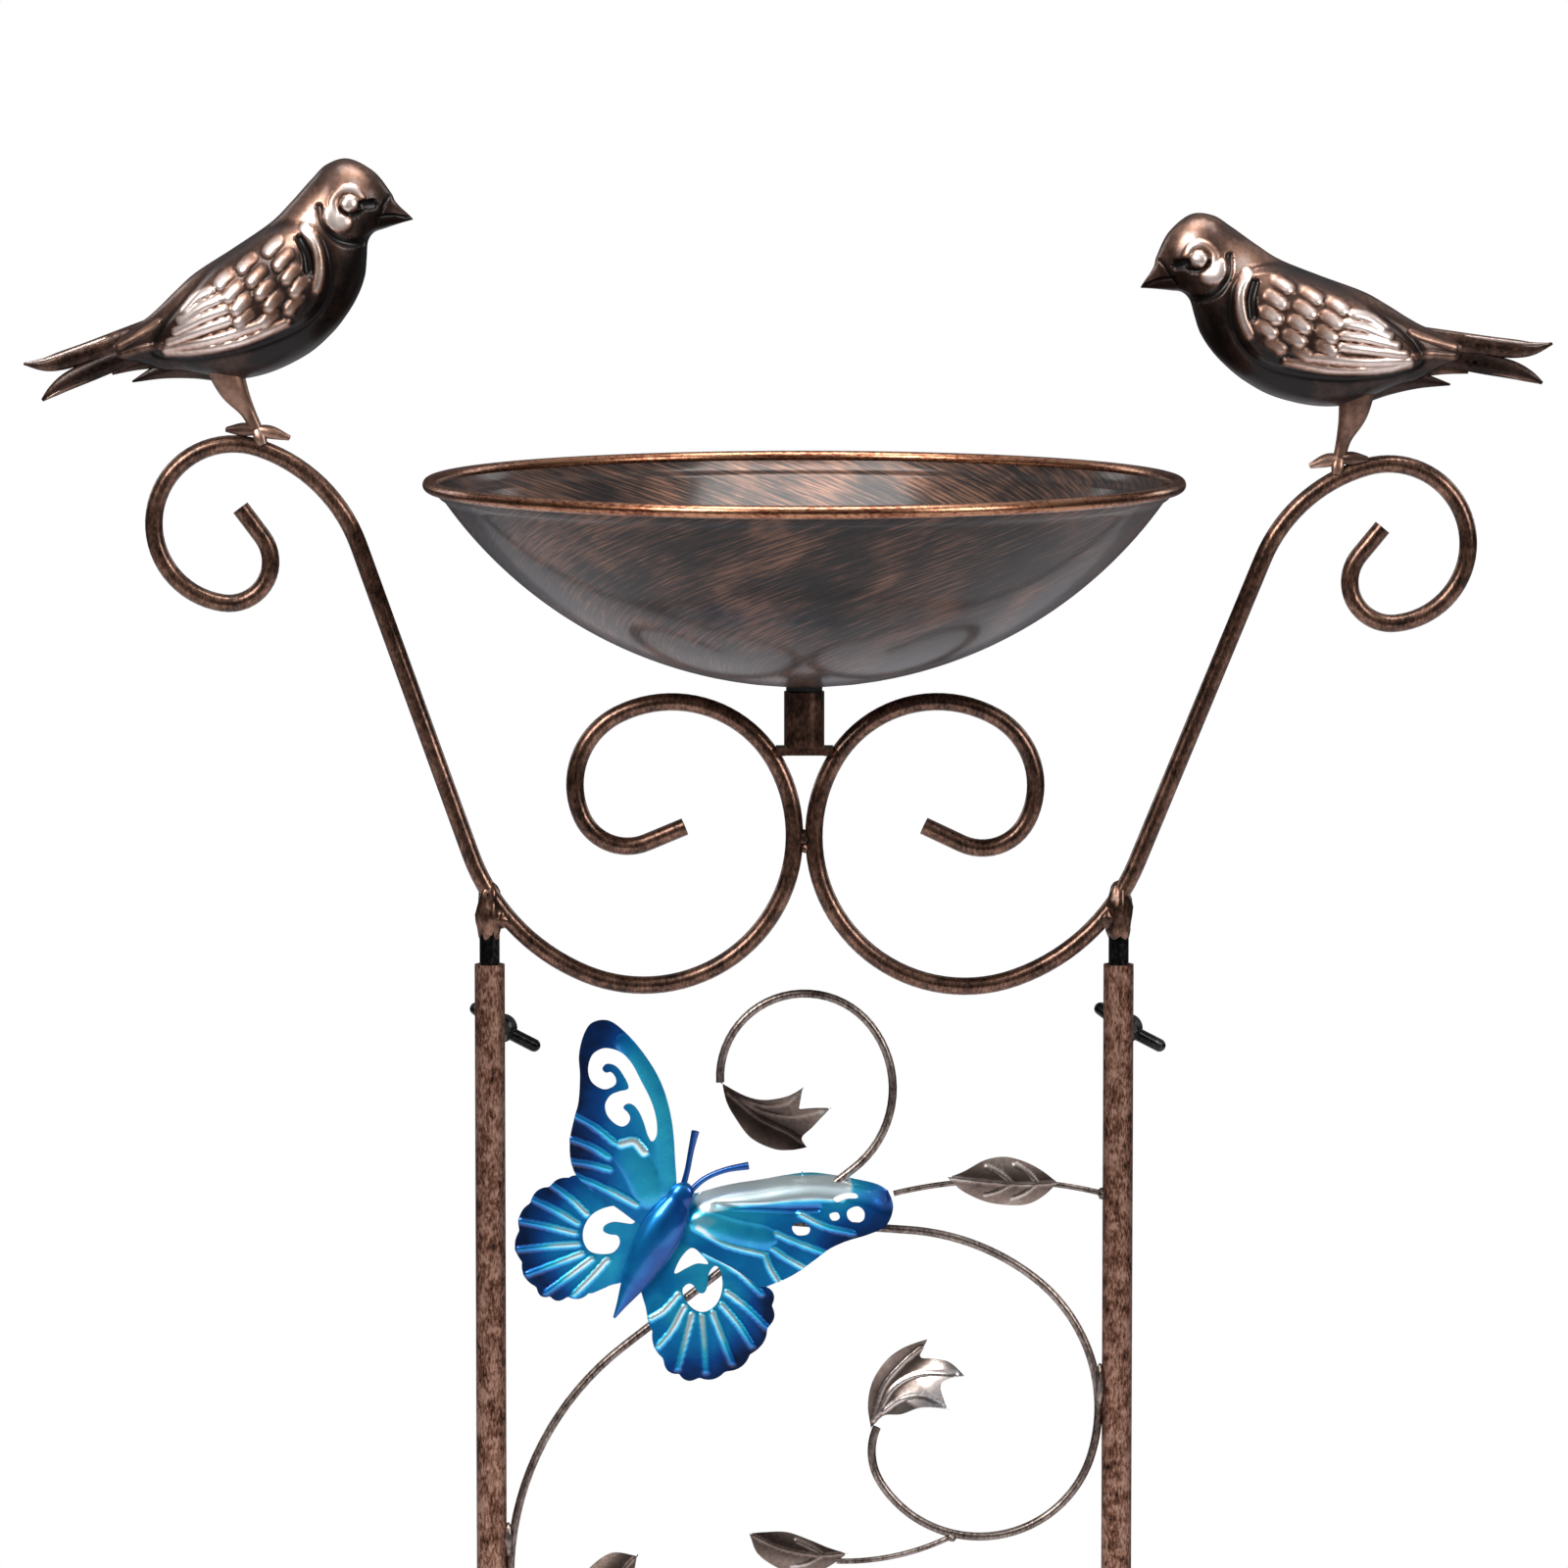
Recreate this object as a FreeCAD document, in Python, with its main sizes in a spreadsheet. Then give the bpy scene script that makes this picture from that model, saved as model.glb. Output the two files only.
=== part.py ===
"""Bird bath on a garden trellis: a spun steel bowl on two scrolled arms, over two posts
joined by vines, leaves and a butterfly, with two stakes that push into the soil.

Millimetres. +Z is up, the trellis lies in the XZ plane and faces -Y, and the origin is at
the soil line, midway between the posts.
"""
import FreeCAD, Part
import Sketcher
import math
import os

from FreeCAD import Placement, Rotation, Vector

os.makedirs("parts", exist_ok=True)
doc = FreeCAD.newDocument("bird_bath")

# ---------------------------------------------------------------- driving dimensions

SIZES = {
    # posts: two plain steel tubes
    "post_spacing": 250.0,
    "post_radius": 6.0,
    "post_wall": 1.2,
    "post_length": 531.0,
    # stakes and the foot bar they are welded to
    "stake_radius": 4.5,
    "stake_neck": 1.0,
    "stake_depth": 180.0,
    "stake_point": 30.0,
    "stake_plug": 60.0,
    "step_thick": 4.0,
    "step_width": 14.0,
    "step_overhang": 10.0,
    # clamp nuts and wing screws
    "screw_radius": 3.0,
    "screw_clearance": 0.06,
    "screw_hole_gap": 0.3,
    "screw_from_end": 28.0,
    "screw_turn": 15.0,
    "screw_tip_gap": 0.25,
    "nut_flats": 10.0,
    "nut_reach": 4.6,
    "hub_radius": 5.6,
    "hub_length": 8.5,
    "wing_radius": 2.6,
    "wing_span": 33.0,
    "wing_rake": 20.0,
    # scrolled arms and the spigots that plug them into the posts
    "arm_radius": 3.5,
    "spigot_radius": 4.0,
    "spigot_plug": 60.0,
    "arm_rise": 55.0,
    "arm_end_x": 48.3,
    "arm_weld": 0.7,
    "arm_lean": 2.6,
    "lean_pivot_x": 54.5,
    "lean_pivot_rise": 81.3,
    # socket and bowl
    "socket_rise": 86.9,
    "socket_radius": 8.0,
    "socket_bore": 6.0,
    "socket_length": 22.0,
    "strap_thick": 3.0,
    "strap_width": 12.0,
    "washer_thick": 3.1,
    "washer_radius": 7.2,
    "washer_gap": 0.2,
    "stem_gap": 0.08,
    "stem_length": 20.0,
    "dish_radius": 174.0,
    "dish_depth": 82.0,
    "dish_sheet": 1.0,
    "base_flat": 16.0,
    "lip_height": 9.0,
    "lip_flare": 6.0,
    "bead_radius": 2.6,
    # vines, twigs, rail and leaves
    "vine_radius": 1.65,
    "long_vine_x": 33.4,
    "long_vine_drop": 47.4,
    "long_vine_heading": 93.4,
    "long_vine_sweep": 118.5,
    "right_vine_drop": 106.9,
    "right_vine_fall": 4.0,
    "low_vine_drop": 273.0,
    "twig_radius": 1.1,
    "rail_radius": 2.5,
    "rail_height": 60.0,
    "rail_gap": 31.0,
    "leaf_sheet": 0.8,
    "weld_bite": 0.3,
    # butterfly
    "wing_sheet": 0.8,
    "moth_radius": 4.2,
    "moth_lean": 28.7,
    "moth_x": -57.0,
    "moth_drop": 107.6,
    "feeler_radius": 1.2,
    # birds
    "bird_sheet": 0.8,
    "leg_radius": 1.7,
    "leg_height": 27.0,
    "toe_radius": 1.7,
    "toe_reach": 11.0,
    "left_perch": 217.0,
    "right_perch": 213.2,
    "left_pitch": 20.1,
    "right_pitch": 7.5,
}

sheet = doc.addObject("Spreadsheet::Sheet", "Sizes")
for row, (name, value) in enumerate(SIZES.items(), start=1):
    sheet.set(f"A{row}", name)
    sheet.set(f"B{row}", str(value))
    sheet.setAlias(f"B{row}", name)
doc.recompute()


class Size:
    """A length that knows its value and the expression that gives it."""

    def __init__(self, value, text):
        self.value = float(value)
        self.text = text

    def __float__(self):
        return self.value

    def _join(self, other, sign, value):
        right = other.text if isinstance(other, Size) else str(other)
        return Size(value, f"({self.text} {sign} {right})")

    def __add__(self, other):
        return self._join(other, "+", self.value + float(other))

    def __sub__(self, other):
        return self._join(other, "-", self.value - float(other))

    def __mul__(self, other):
        return self._join(other, "*", self.value * float(other))

    def __truediv__(self, other):
        return self._join(other, "/", self.value / float(other))

    def __neg__(self):
        return Size(-self.value, f"(-1 * {self.text})")


def size(name):
    """The cell of that name."""
    return Size(sheet.get(name), f"Sizes.{name}")


# Heights and places that several pieces share
HALF_SPACING = size("post_spacing") / 2
POST_FOOT = size("step_thick")
POST_TOP = POST_FOOT + size("post_length")
POST_BORE = size("post_radius") - size("post_wall")
SOCKET_FOOT = POST_TOP + size("socket_rise")
SOCKET_TOP = SOCKET_FOOT + size("socket_length")
BOWL_FOOT = SOCKET_TOP + size("washer_thick")
BOWL_RIM = BOWL_FOOT + size("dish_depth")
UPPER_SCREW = POST_TOP - size("screw_from_end")
LOWER_SCREW = POST_FOOT + size("screw_from_end")
BITE = size("weld_bite")
# centre line of a vine that is welded to the inner side of a post
VINE_ON_POST = HALF_SPACING - size("post_radius") - size("vine_radius") + BITE

pieces = []


def keep(item, label):
    """Enter a finished object as a sub-part under its own name."""
    item.Label = label
    pieces.append(item)
    return item


def bind(item, path, value):
    """Tie a property to the sheet, or set it when it is a plain number."""
    if isinstance(value, Size):
        item.setExpression(path, value.text)
    else:
        item.setExpression(path, str(value))


def place(item, x=0.0, y=0.0, z=0.0, rotation=Rotation()):
    """Put an object where the sheet says, turned as given."""
    item.Placement = Placement(Vector(float(x), float(y), float(z)), rotation)
    for letter, value in zip("xyz", (x, y, z)):
        if isinstance(value, Size):
            item.setExpression(f"Placement.Base.{letter}", value.text)


# ---------------------------------------------------------------- sketched bodies

def new_sketch(body, role, offset=None):
    """A sketch on one of the body's own origin planes, lifted by offset along its normal."""
    planes = {plane.Role: plane for plane in body.Origin.OriginFeatures}
    sketch = body.newObject("Sketcher::SketchObject", f"{body.Name}_sketch")
    sketch.AttachmentSupport = [(planes[role], "")]
    sketch.MapMode = "FlatFace"
    if offset is not None:
        sketch.AttachmentOffset = Placement(Vector(0, 0, float(offset)), Rotation())
        sketch.setExpression("AttachmentOffset.Base.z", offset.text)
    return sketch


def fix_point(sketch, geometry, point, x, y):
    """Hold one point of a sketch at (x, y), each tied to the sheet."""
    for axis, kind, value in ((-2, "DistanceX", x), (-1, "DistanceY", y)):
        if float(value) == 0.0:
            sketch.addConstraint(Sketcher.Constraint("PointOnObject", geometry, point, axis))
            continue
        index = sketch.addConstraint(Sketcher.Constraint(kind, geometry, point, float(value)))
        if isinstance(value, Size):
            sketch.setExpression(f"Constraints[{index}]", value.text)


def add_circle(sketch, radius, x=0.0, y=0.0):
    """A circle of that radius about (x, y)."""
    centre = Vector(float(x), float(y), 0)
    index = sketch.addGeometry(Part.Circle(centre, Vector(0, 0, 1), float(radius)))
    fix_point(sketch, index, 3, x, y)
    rule = sketch.addConstraint(Sketcher.Constraint("Radius", index, float(radius)))
    sketch.setExpression(f"Constraints[{rule}]", radius.text)


def add_polygon(sketch, points):
    """A closed run of straight lines through the given points."""
    count = len(points)
    spots = [Vector(float(x), float(y), 0) for x, y in points]
    for i in range(count):
        sketch.addGeometry(Part.LineSegment(spots[i], spots[(i + 1) % count]))
    for i in range(count):
        sketch.addConstraint(Sketcher.Constraint("Coincident", i, 2, (i + 1) % count, 1))
        fix_point(sketch, i, 1, *points[i])


def new_body(label):
    """An empty body, entered as a sub-part."""
    return keep(doc.addObject("PartDesign::Body", label), label)


def pad(body, sketch, length, midplane=False):
    """Raise a sketch into a solid."""
    feature = body.newObject("PartDesign::Pad", f"{body.Name}_pad")
    feature.Profile = sketch
    bind(feature, "Length", length)
    feature.Midplane = midplane
    doc.recompute()
    return feature


def pocket(body, sketch, length, midplane=False, flip=False):
    """Cut a sketch away and make sure that it removed something."""
    before = body.Shape.Volume
    feature = body.newObject("PartDesign::Pocket", f"{body.Name}_cut")
    feature.Profile = sketch
    bind(feature, "Length", length)
    feature.Midplane = midplane
    feature.Reversed = flip
    doc.recompute()
    if body.Shape.Volume >= before:
        raise RuntimeError(f"{body.Label}: a cut removed nothing")
    return feature


def revolve(body, sketch, axis="V_Axis"):
    """Turn a sketch about its own vertical axis."""
    feature = body.newObject("PartDesign::Revolution", f"{body.Name}_turn")
    feature.Profile = sketch
    feature.ReferenceAxis = (sketch, [axis])
    feature.Angle = 360.0
    doc.recompute()
    return feature


def round_bar(label, radius, length, z, x=0.0, bore=None):
    """An upright bar or tube standing at (x, 0, z)."""
    body = new_body(label)
    section = new_sketch(body, "XY_Plane")
    add_circle(section, radius)
    if bore is not None:
        add_circle(section, bore)
    pad(body, section, length)
    place(body, x, 0.0, z)
    return body


# ---------------------------------------------------------------- bent wire and sheet

class Bend:
    """A wire in the XZ plane, made of straight runs and arcs that join without a kink."""

    def __init__(self, x, z, heading):
        self.x, self.z = float(x), float(z)
        self.heading = math.radians(heading)
        self.edges = []
        self.length = 0.0
        self.stations = [(0.0, self.x, self.z, self.heading)]

    def _add(self, edge, x, z, heading, length):
        self.edges.append(edge)
        self.length += length
        self.x, self.z, self.heading = x, z, heading
        self.stations.append((self.length, x, z, heading))
        return self

    def run(self, length):
        """Go straight on."""
        x = self.x + length * math.cos(self.heading)
        z = self.z + length * math.sin(self.heading)
        line = Part.LineSegment(Vector(self.x, 0, self.z), Vector(x, 0, z))
        return self._add(line.toShape(), x, z, self.heading, length)

    def bend(self, radius, turn):
        """Turn through that many degrees, to the left when positive."""
        angle = math.radians(turn)
        side = 1.0 if turn > 0 else -1.0
        centre_x = self.x - side * radius * math.sin(self.heading)
        centre_z = self.z + side * radius * math.cos(self.heading)

        def at(part):
            lean = self.heading + angle * part
            x = centre_x + side * radius * math.sin(lean)
            return Vector(x, 0, centre_z - side * radius * math.cos(lean))

        middle, end = at(0.5), at(1.0)
        arc = Part.Arc(Vector(self.x, 0, self.z), middle, end)
        return self._add(arc.toShape(), end.x, end.z, self.heading + angle, radius * abs(angle))

    def follow(self, moves):
        """Work through a bending list: (length,) is a run and (radius, turn) an arc."""
        for move in moves:
            if len(move) == 1:
                self.run(move[0])
            else:
                self.bend(*move)
        return self

    def at(self, station):
        """The place and heading, in degrees, that far along the wire."""
        for edge in self.edges:
            if station <= edge.Length:
                spot = edge.getParameterByLength(station)
                point, along = edge.valueAt(spot), edge.tangentAt(spot)
                return point.x, point.z, math.degrees(math.atan2(along.z, along.x))
            station -= edge.Length
        raise RuntimeError("the wire is not that long")

    def points(self, step=0.5):
        """Points along the wire, as (x, z)."""
        wire = Part.Wire(self.edges)
        return [(point.x, point.z) for point in wire.discretize(Distance=step)]

    def rod(self, radius):
        """The solid rod along this wire."""
        wire = Part.Wire(self.edges)
        first = self.stations[0]
        along = Vector(math.cos(first[3]), 0, math.sin(first[3]))
        ring = Part.Circle(Vector(first[1], 0, first[2]), along, float(radius))
        profile = Part.Wire([ring.toShape()])
        solid = wire.makePipeShell([profile], True, False)
        expected = math.pi * float(radius) ** 2 * self.length
        if abs(solid.Volume - expected) > 0.01 * expected:
            raise RuntimeError("a rod's volume is not its section times its length")
        return solid


def feature(label, shape, placement=Placement()):
    """A piece whose solid is worked out from the sheet's values."""
    item = doc.addObject("Part::Feature", label)
    item.Shape = shape
    item.Placement = placement * shape.Placement
    return keep(item, label)


def spline(points):
    """A smooth edge through points of the XZ plane."""
    curve = Part.BSplineCurve()
    curve.interpolate([Vector(x, 0, z) for x, z in points])
    return curve.toShape()


def plate(edges, thickness):
    """Sheet metal cut to an outline in the XZ plane, centred on it."""
    face = Part.Face(Part.Wire(Part.sortEdges(edges)[0]))
    solid = face.extrude(Vector(0, thickness, 0))
    solid.translate(Vector(0, -thickness / 2, 0))
    return solid


def closed_outline(points):
    """A smooth closed outline through points of the XZ plane."""
    curve = Part.BSplineCurve()
    curve.interpolate([Vector(x, 0, z) for x, z in points], PeriodicFlag=True)
    return [curve.toShape()]


# ---------------------------------------------------------------- posts, stakes, clamps

def screw_facing():
    """How a clamp screw lies: local Z along the screw, outwards, and local Y upwards."""
    turn = math.radians(float(size("screw_turn")))
    out = Vector(math.sin(turn), math.cos(turn), 0)
    up = Vector(0, 0, 1)
    return Rotation(up.cross(out), up, out, "ZYX")


def make_post(label, side):
    """A steel tube with a hole in its rear wall for each clamp screw."""
    body = round_bar(label, size("post_radius"), size("post_length"), POST_FOOT,
                     HALF_SPACING * side, POST_BORE)
    turned = Rotation(Vector(0, -1, 0), float(size("screw_turn")))
    for height in (UPPER_SCREW - POST_FOOT, LOWER_SCREW - POST_FOOT):
        section = new_sketch(body, "XZ_Plane")
        section.AttachmentOffset = Placement(Vector(), turned)
        section.setExpression("AttachmentOffset.Rotation.Angle", size("screw_turn").text)
        add_circle(section, size("screw_radius") + size("screw_hole_gap"), 0.0, height)
        pocket(body, section, size("post_radius") * 2)
    return body


def make_clamp_nut(label, side, height):
    """A hexagon nut, saddled to the post that it is welded to."""
    body = new_body(label)
    base = new_sketch(body, "XY_Plane", size("post_wall") * 2)
    corner = size("nut_flats") / (2 * math.cos(math.radians(30)))
    half_corner = corner / 2
    flat = size("nut_flats") / 2
    add_polygon(base, [(-corner, 0.0), (-half_corner, -flat), (half_corner, -flat),
                       (corner, 0.0), (half_corner, flat), (-half_corner, flat)])
    pad(body, base, size("post_radius") + size("nut_reach") - size("post_wall") * 2)
    bore = new_sketch(body, "XY_Plane")
    add_circle(bore, size("screw_radius"))
    pocket(body, bore, size("post_radius") * 4, flip=True)
    saddle = new_sketch(body, "XZ_Plane")
    add_circle(saddle, size("post_radius"))
    pocket(body, saddle, size("nut_flats") * 2, midplane=True)
    place(body, HALF_SPACING * side, 0.0, height, screw_facing())
    return body


def make_wing_screw(label, side, height):
    """A screw with a round hub and two raked wings, its tip just off what it clamps."""
    tip = float(size("spigot_radius") + size("screw_tip_gap"))
    hub_foot = float(size("post_radius") + size("nut_reach")) + 1.0
    hub_length = float(size("hub_length"))
    shank_radius = float(size("screw_radius") - size("screw_clearance"))
    up = Vector(0, 0, 1)
    shank = Part.makeCylinder(shank_radius, hub_foot - tip + 1.0, Vector(0, 0, tip), up)
    hub = Part.makeCylinder(float(size("hub_radius")), hub_length, Vector(0, 0, hub_foot), up)
    shape = shank.fuse(hub.makeChamfer(0.8, hub.Edges))
    rake = math.radians(float(size("wing_rake")))
    wing_radius = float(size("wing_radius"))
    reach = (float(size("wing_span")) / 2 - wing_radius) / math.cos(rake)
    root = Vector(0, 0, hub_foot + hub_length / 2)
    for way in (1, -1):
        along = Vector(way * math.cos(rake), 0, math.sin(rake))
        wing = Part.makeCylinder(wing_radius, reach, root, along)
        ball = Part.makeSphere(wing_radius, root + along * reach)
        shape = shape.fuse([wing, ball])
    twist = Rotation(Vector(0, 0, 1), 30.0)
    on_post = Vector(side * float(HALF_SPACING), 0, float(height))
    return feature(label, shape.removeSplitter(), Placement(on_post, screw_facing() * twist))


def make_stake(label, side):
    """A round stake, pointed below and turned down above to plug into the foot of a post."""
    body = new_body(label)
    section = new_sketch(body, "XZ_Plane")
    radius = size("stake_radius")
    plug = size("spigot_radius")
    shoulder = size("stake_depth") - size("stake_neck")
    top = size("stake_depth") + size("step_thick") + size("stake_plug")
    add_polygon(section, [(0.0, 0.0), (radius, size("stake_point")), (radius, shoulder),
                          (plug, shoulder), (plug, top), (0.0, top)])
    revolve(body, section)
    place(body, HALF_SPACING * side, 0.0, -size("stake_depth"))
    return body


def make_step_bar():
    """A flat bar welded across the stakes: the posts stand on it and a foot pushes it."""
    body = new_body("step_bar")
    outline = new_sketch(body, "XY_Plane")
    end = HALF_SPACING + size("step_overhang")
    edge = size("step_width") / 2
    add_polygon(outline, [(-end, -edge), (end, -edge), (end, edge), (-end, edge)])
    pad(body, outline, size("step_thick"))
    for side in (-1, 1):
        hole = new_sketch(body, "XY_Plane")
        add_circle(hole, size("spigot_radius"), HALF_SPACING * side)
        pocket(body, hole, size("step_thick") * 2, flip=True)
    return body


def make_posts():
    """Posts, stakes, foot bar, clamp nuts and wing screws."""
    make_step_bar()
    for name, side in (("left", -1), ("right", 1)):
        make_stake(f"{name}_stake", side)
        make_post(f"{name}_post", side)
        for level, height in (("upper", UPPER_SCREW), ("lower", LOWER_SCREW)):
            make_clamp_nut(f"{name}_{level}_nut", side, height)
            make_wing_screw(f"{name}_{level}_wing_screw", side, height)


# ---------------------------------------------------------------- arms, spigots, socket

# From the inner scroll's tip: down and round the big circle, out past the post, and over
# into the small outer scroll.
ARM_BENDS = [(16.4,), (19.7, -87.7), (31.3, -88.2), (47.1, -88.5), (60.0, -140.6), (81.4, -48.1),
             (130.5,), (62.9, 51.7), (31.7, 190.3), (16.6, 135.1), (14.3,)]
ARM_HEADING = 202.7


def lean_right(x, z):
    """The left arm's point, mirrored and leaned outwards as the right arm stands."""
    lean = math.radians(float(size("arm_lean")))
    pivot_x = -float(size("lean_pivot_x"))
    pivot_z = float(POST_TOP + size("lean_pivot_rise"))
    away_x, away_z = x - pivot_x, z - pivot_z
    turned_x = pivot_x + away_x * math.cos(lean) - away_z * math.sin(lean)
    turned_z = pivot_z + away_x * math.sin(lean) + away_z * math.cos(lean)
    return -turned_x, turned_z


def arm_wire(side):
    """The centre line of an arm: the right one is the left one's mirror image, leaned."""
    x, z = -float(size("arm_end_x")), float(POST_TOP + size("arm_rise"))
    heading, moves = ARM_HEADING, ARM_BENDS
    if side > 0:
        x, z = lean_right(x, z)
        heading = 180.0 - ARM_HEADING - float(size("arm_lean"))
        moves = [move if len(move) == 1 else (move[0], -move[1]) for move in ARM_BENDS]
    # the two arms meet in the middle, a weld's width apart
    trial = Bend(x, z, heading).follow(moves)
    nearest = min(side * px for px, _ in trial.points())
    wanted = float(size("arm_radius") + size("arm_weld") / 2)
    return Bend(x + side * (wanted - nearest), z, heading).follow(moves)


def height_at(points, x, above):
    """The height of the first crossing of a centre line with x, above a given level."""
    for (x0, z0), (x1, z1) in zip(points, points[1:]):
        if (x0 - x) * (x1 - x) <= 0 and z0 > above and x0 != x1:
            return z0 + (z1 - z0) * (x - x0) / (x1 - x0)
    raise RuntimeError("the arm does not reach that far")


def span_at(points, z):
    """The centre line's nearest approach to the middle at height z."""
    hits = []
    for (x0, z0), (x1, z1) in zip(points, points[1:]):
        if (z0 - z) * (z1 - z) <= 0 and z0 != z1:
            hits.append(x0 + (x1 - x0) * (z - z0) / (z1 - z0))
    return min(hits, key=abs)


def make_arms():
    """The two arms, and a spigot welded under each."""
    for name, side in (("left", -1), ("right", 1)):
        wire = arm_wire(side)
        feature(f"{name}_scroll_arm", wire.rod(size("arm_radius")))
        post_x = side * float(HALF_SPACING)
        crossing = height_at(wire.points(), post_x, float(POST_TOP))
        length = crossing - float(POST_TOP) + float(size("spigot_plug"))
        spigot = Part.makeCylinder(float(size("spigot_radius")), length)
        foot = float(POST_TOP - size("spigot_plug"))
        feature(f"{name}_spigot", spigot, Placement(Vector(post_x, 0, foot), Rotation()))


def make_socket():
    """The tube that the bowl plugs into, on a strap between the two arms."""
    round_bar("bowl_socket", size("socket_radius"), size("socket_length"), SOCKET_FOOT,
              0.0, size("socket_bore"))
    middle = float(SOCKET_FOOT - size("strap_thick") / 2)
    bite = float(BITE)
    radius = float(size("arm_radius"))
    ends = [span_at(arm_wire(side).points(), middle) - side * (radius - bite) for side in (-1, 1)]
    depth = float(size("strap_width"))
    strap = Part.makeBox(ends[1] - ends[0], depth, float(size("strap_thick")))
    corner = Vector(ends[0], -depth / 2, float(SOCKET_FOOT - size("strap_thick")))
    feature("socket_strap", strap, Placement(corner, Rotation()))


def make_bowl():
    """Washer, stem and the spun dish with its flared lip and rolled bead."""
    bore = size("socket_bore") + size("washer_gap")
    round_bar("stem_washer", size("washer_radius"), size("washer_thick"), SOCKET_TOP, 0.0, bore)
    stem_foot = BOWL_FOOT - size("washer_thick") - size("stem_length")
    stem_length = size("washer_thick") + size("stem_length") + BITE
    round_bar("bowl_stem", size("socket_bore") - size("stem_gap"), stem_length, stem_foot)

    dish = float(size("dish_radius"))
    flat = float(size("base_flat"))
    thick = float(size("dish_sheet"))
    depth = float(size("dish_depth"))
    lip = float(size("lip_height"))
    centre_z = math.sqrt(dish ** 2 - flat ** 2)
    shoulder_z = depth - lip
    middle_z = shoulder_z * 0.3

    def on_dish(radius, z):
        return Vector(math.sqrt(radius ** 2 - (z - centre_z) ** 2), 0, z)

    outer = [on_dish(dish, z) for z in (0.0, middle_z, shoulder_z)]
    inner = [on_dish(dish - thick, z) for z in (thick, middle_z, shoulder_z)]
    bead_radius = float(size("bead_radius"))
    flare = Vector(float(size("lip_flare")), 0, lip - bead_radius)
    edges = [
        Part.LineSegment(Vector(0, 0, 0), outer[0]).toShape(),
        Part.Arc(*outer).toShape(),
        Part.LineSegment(outer[2], outer[2] + flare).toShape(),
        Part.LineSegment(outer[2] + flare, inner[2] + flare).toShape(),
        Part.LineSegment(inner[2] + flare, inner[2]).toShape(),
        Part.Arc(*reversed(inner)).toShape(),
        Part.LineSegment(inner[0], Vector(0, 0, thick)).toShape(),
        Part.LineSegment(Vector(0, 0, thick), Vector(0, 0, 0)).toShape(),
    ]
    profile = Part.Face(Part.Wire(edges))
    shell = profile.revolve(Vector(), Vector(0, 0, 1), 360)
    rim_radius = outer[2].x + flare.x
    bead = Part.makeTorus(rim_radius, bead_radius, Vector(0, 0, depth - bead_radius))
    shape = shell.fuse(bead).removeSplitter()
    feature("basin", shape, Placement(Vector(0, 0, float(BOWL_FOOT)), Rotation()))


# ---------------------------------------------------------------- vines, twigs, leaves

# Bending lists: (length,) is a run and (radius, turn) an arc, to the left when positive
LONG_VINE_LOOP = [(33.6, -145.3), (41.0, -90.1)]
LONG_VINE_LOW_SCROLL = [(75.0, 80.0), (30.0,), (50.0, -150.0), (25.0, -150.0)]
RIGHT_VINE_BENDS = [(92.1, -34.1), (66.7, -68.3), (46.6, -131.7), (23.9, -56.1)]
LOW_VINE_BENDS = [(80.0, -75.0), (10.0,), (28.0, 200.0)]
# A twig's heading where it leaves its wire, then the arc it is bent to
SIDE_TWIG = (166.0, (172.8, 28.0))
LOW_TWIG = (207.0, (95.0, -29.0))
LEFT_TWIG = (320.0, (22.0, 110.0))
LEFT_TWIG_SHARE = 1 / 5
SIDE_TWIG_DROP = 92.2
LOW_TWIG_X = 59.5
LOW_TWIG_DROP = 230.7
# Leaves: (the way it points, length, width), or for the two that have lobes the way the
# whole leaf points, the radius of its root, and (turn, length, width) for each lobe
TULIP_LEAF = (-58.0, 6.0, [(-6, 44, 22), (38, 44, 18), (58, 34, 13)])
CURLED_LEAF = (50.0, 4.0, [(10, 38, 13), (-18, 42, 13), (-42, 32, 11)])
SIDE_LEAF = (178.0, 43.0, 18.0)
SIDE_LEAF_ROOT = (100.9, 87.5)
LOW_LEAF = (175.0, 38.0, 17.0)
LEFT_LEAF = (80.0, 38.0, 19.0)
FOOT_LEAF = (36.0, 17.0)


def scroll_down(wire, moves):
    """Go down the post and into a scroll that ends a little above the bottom rail.

    With more height the wire follows the post further; with less the scroll is drawn in.
    """
    depth = wire.z - min(z for _, z in Bend(wire.x, wire.z, 270.0).follow(moves).points())
    floor = float(size("rail_height") + size("rail_radius") + size("rail_gap"))
    room = wire.z - floor - float(size("vine_radius"))
    share = min(1.0, room / depth)
    if share == 1.0:
        wire.run(room - depth)
    scaled = [(move[0] * share,) + tuple(move[1:]) for move in moves]
    return wire.follow(scaled)


def long_vine_wire():
    """From the tulip leaf round the top loop, down to the left post and into a low scroll."""
    top = float(POST_TOP - size("long_vine_drop"))
    wire = Bend(-size("long_vine_x"), top, float(size("long_vine_heading")))
    wire.follow(LONG_VINE_LOOP)
    # straight on until the last sweep, which ends upright, just meets the post
    sweep = float(size("long_vine_sweep"))
    sideways = sweep * (-1.0 - math.sin(wire.heading))
    wire.run((-float(VINE_ON_POST) - wire.x - sideways) / math.cos(wire.heading))
    wire.bend(sweep, 270.0 - math.degrees(wire.heading) % 360)
    return scroll_down(wire, LONG_VINE_LOW_SCROLL)


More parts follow.
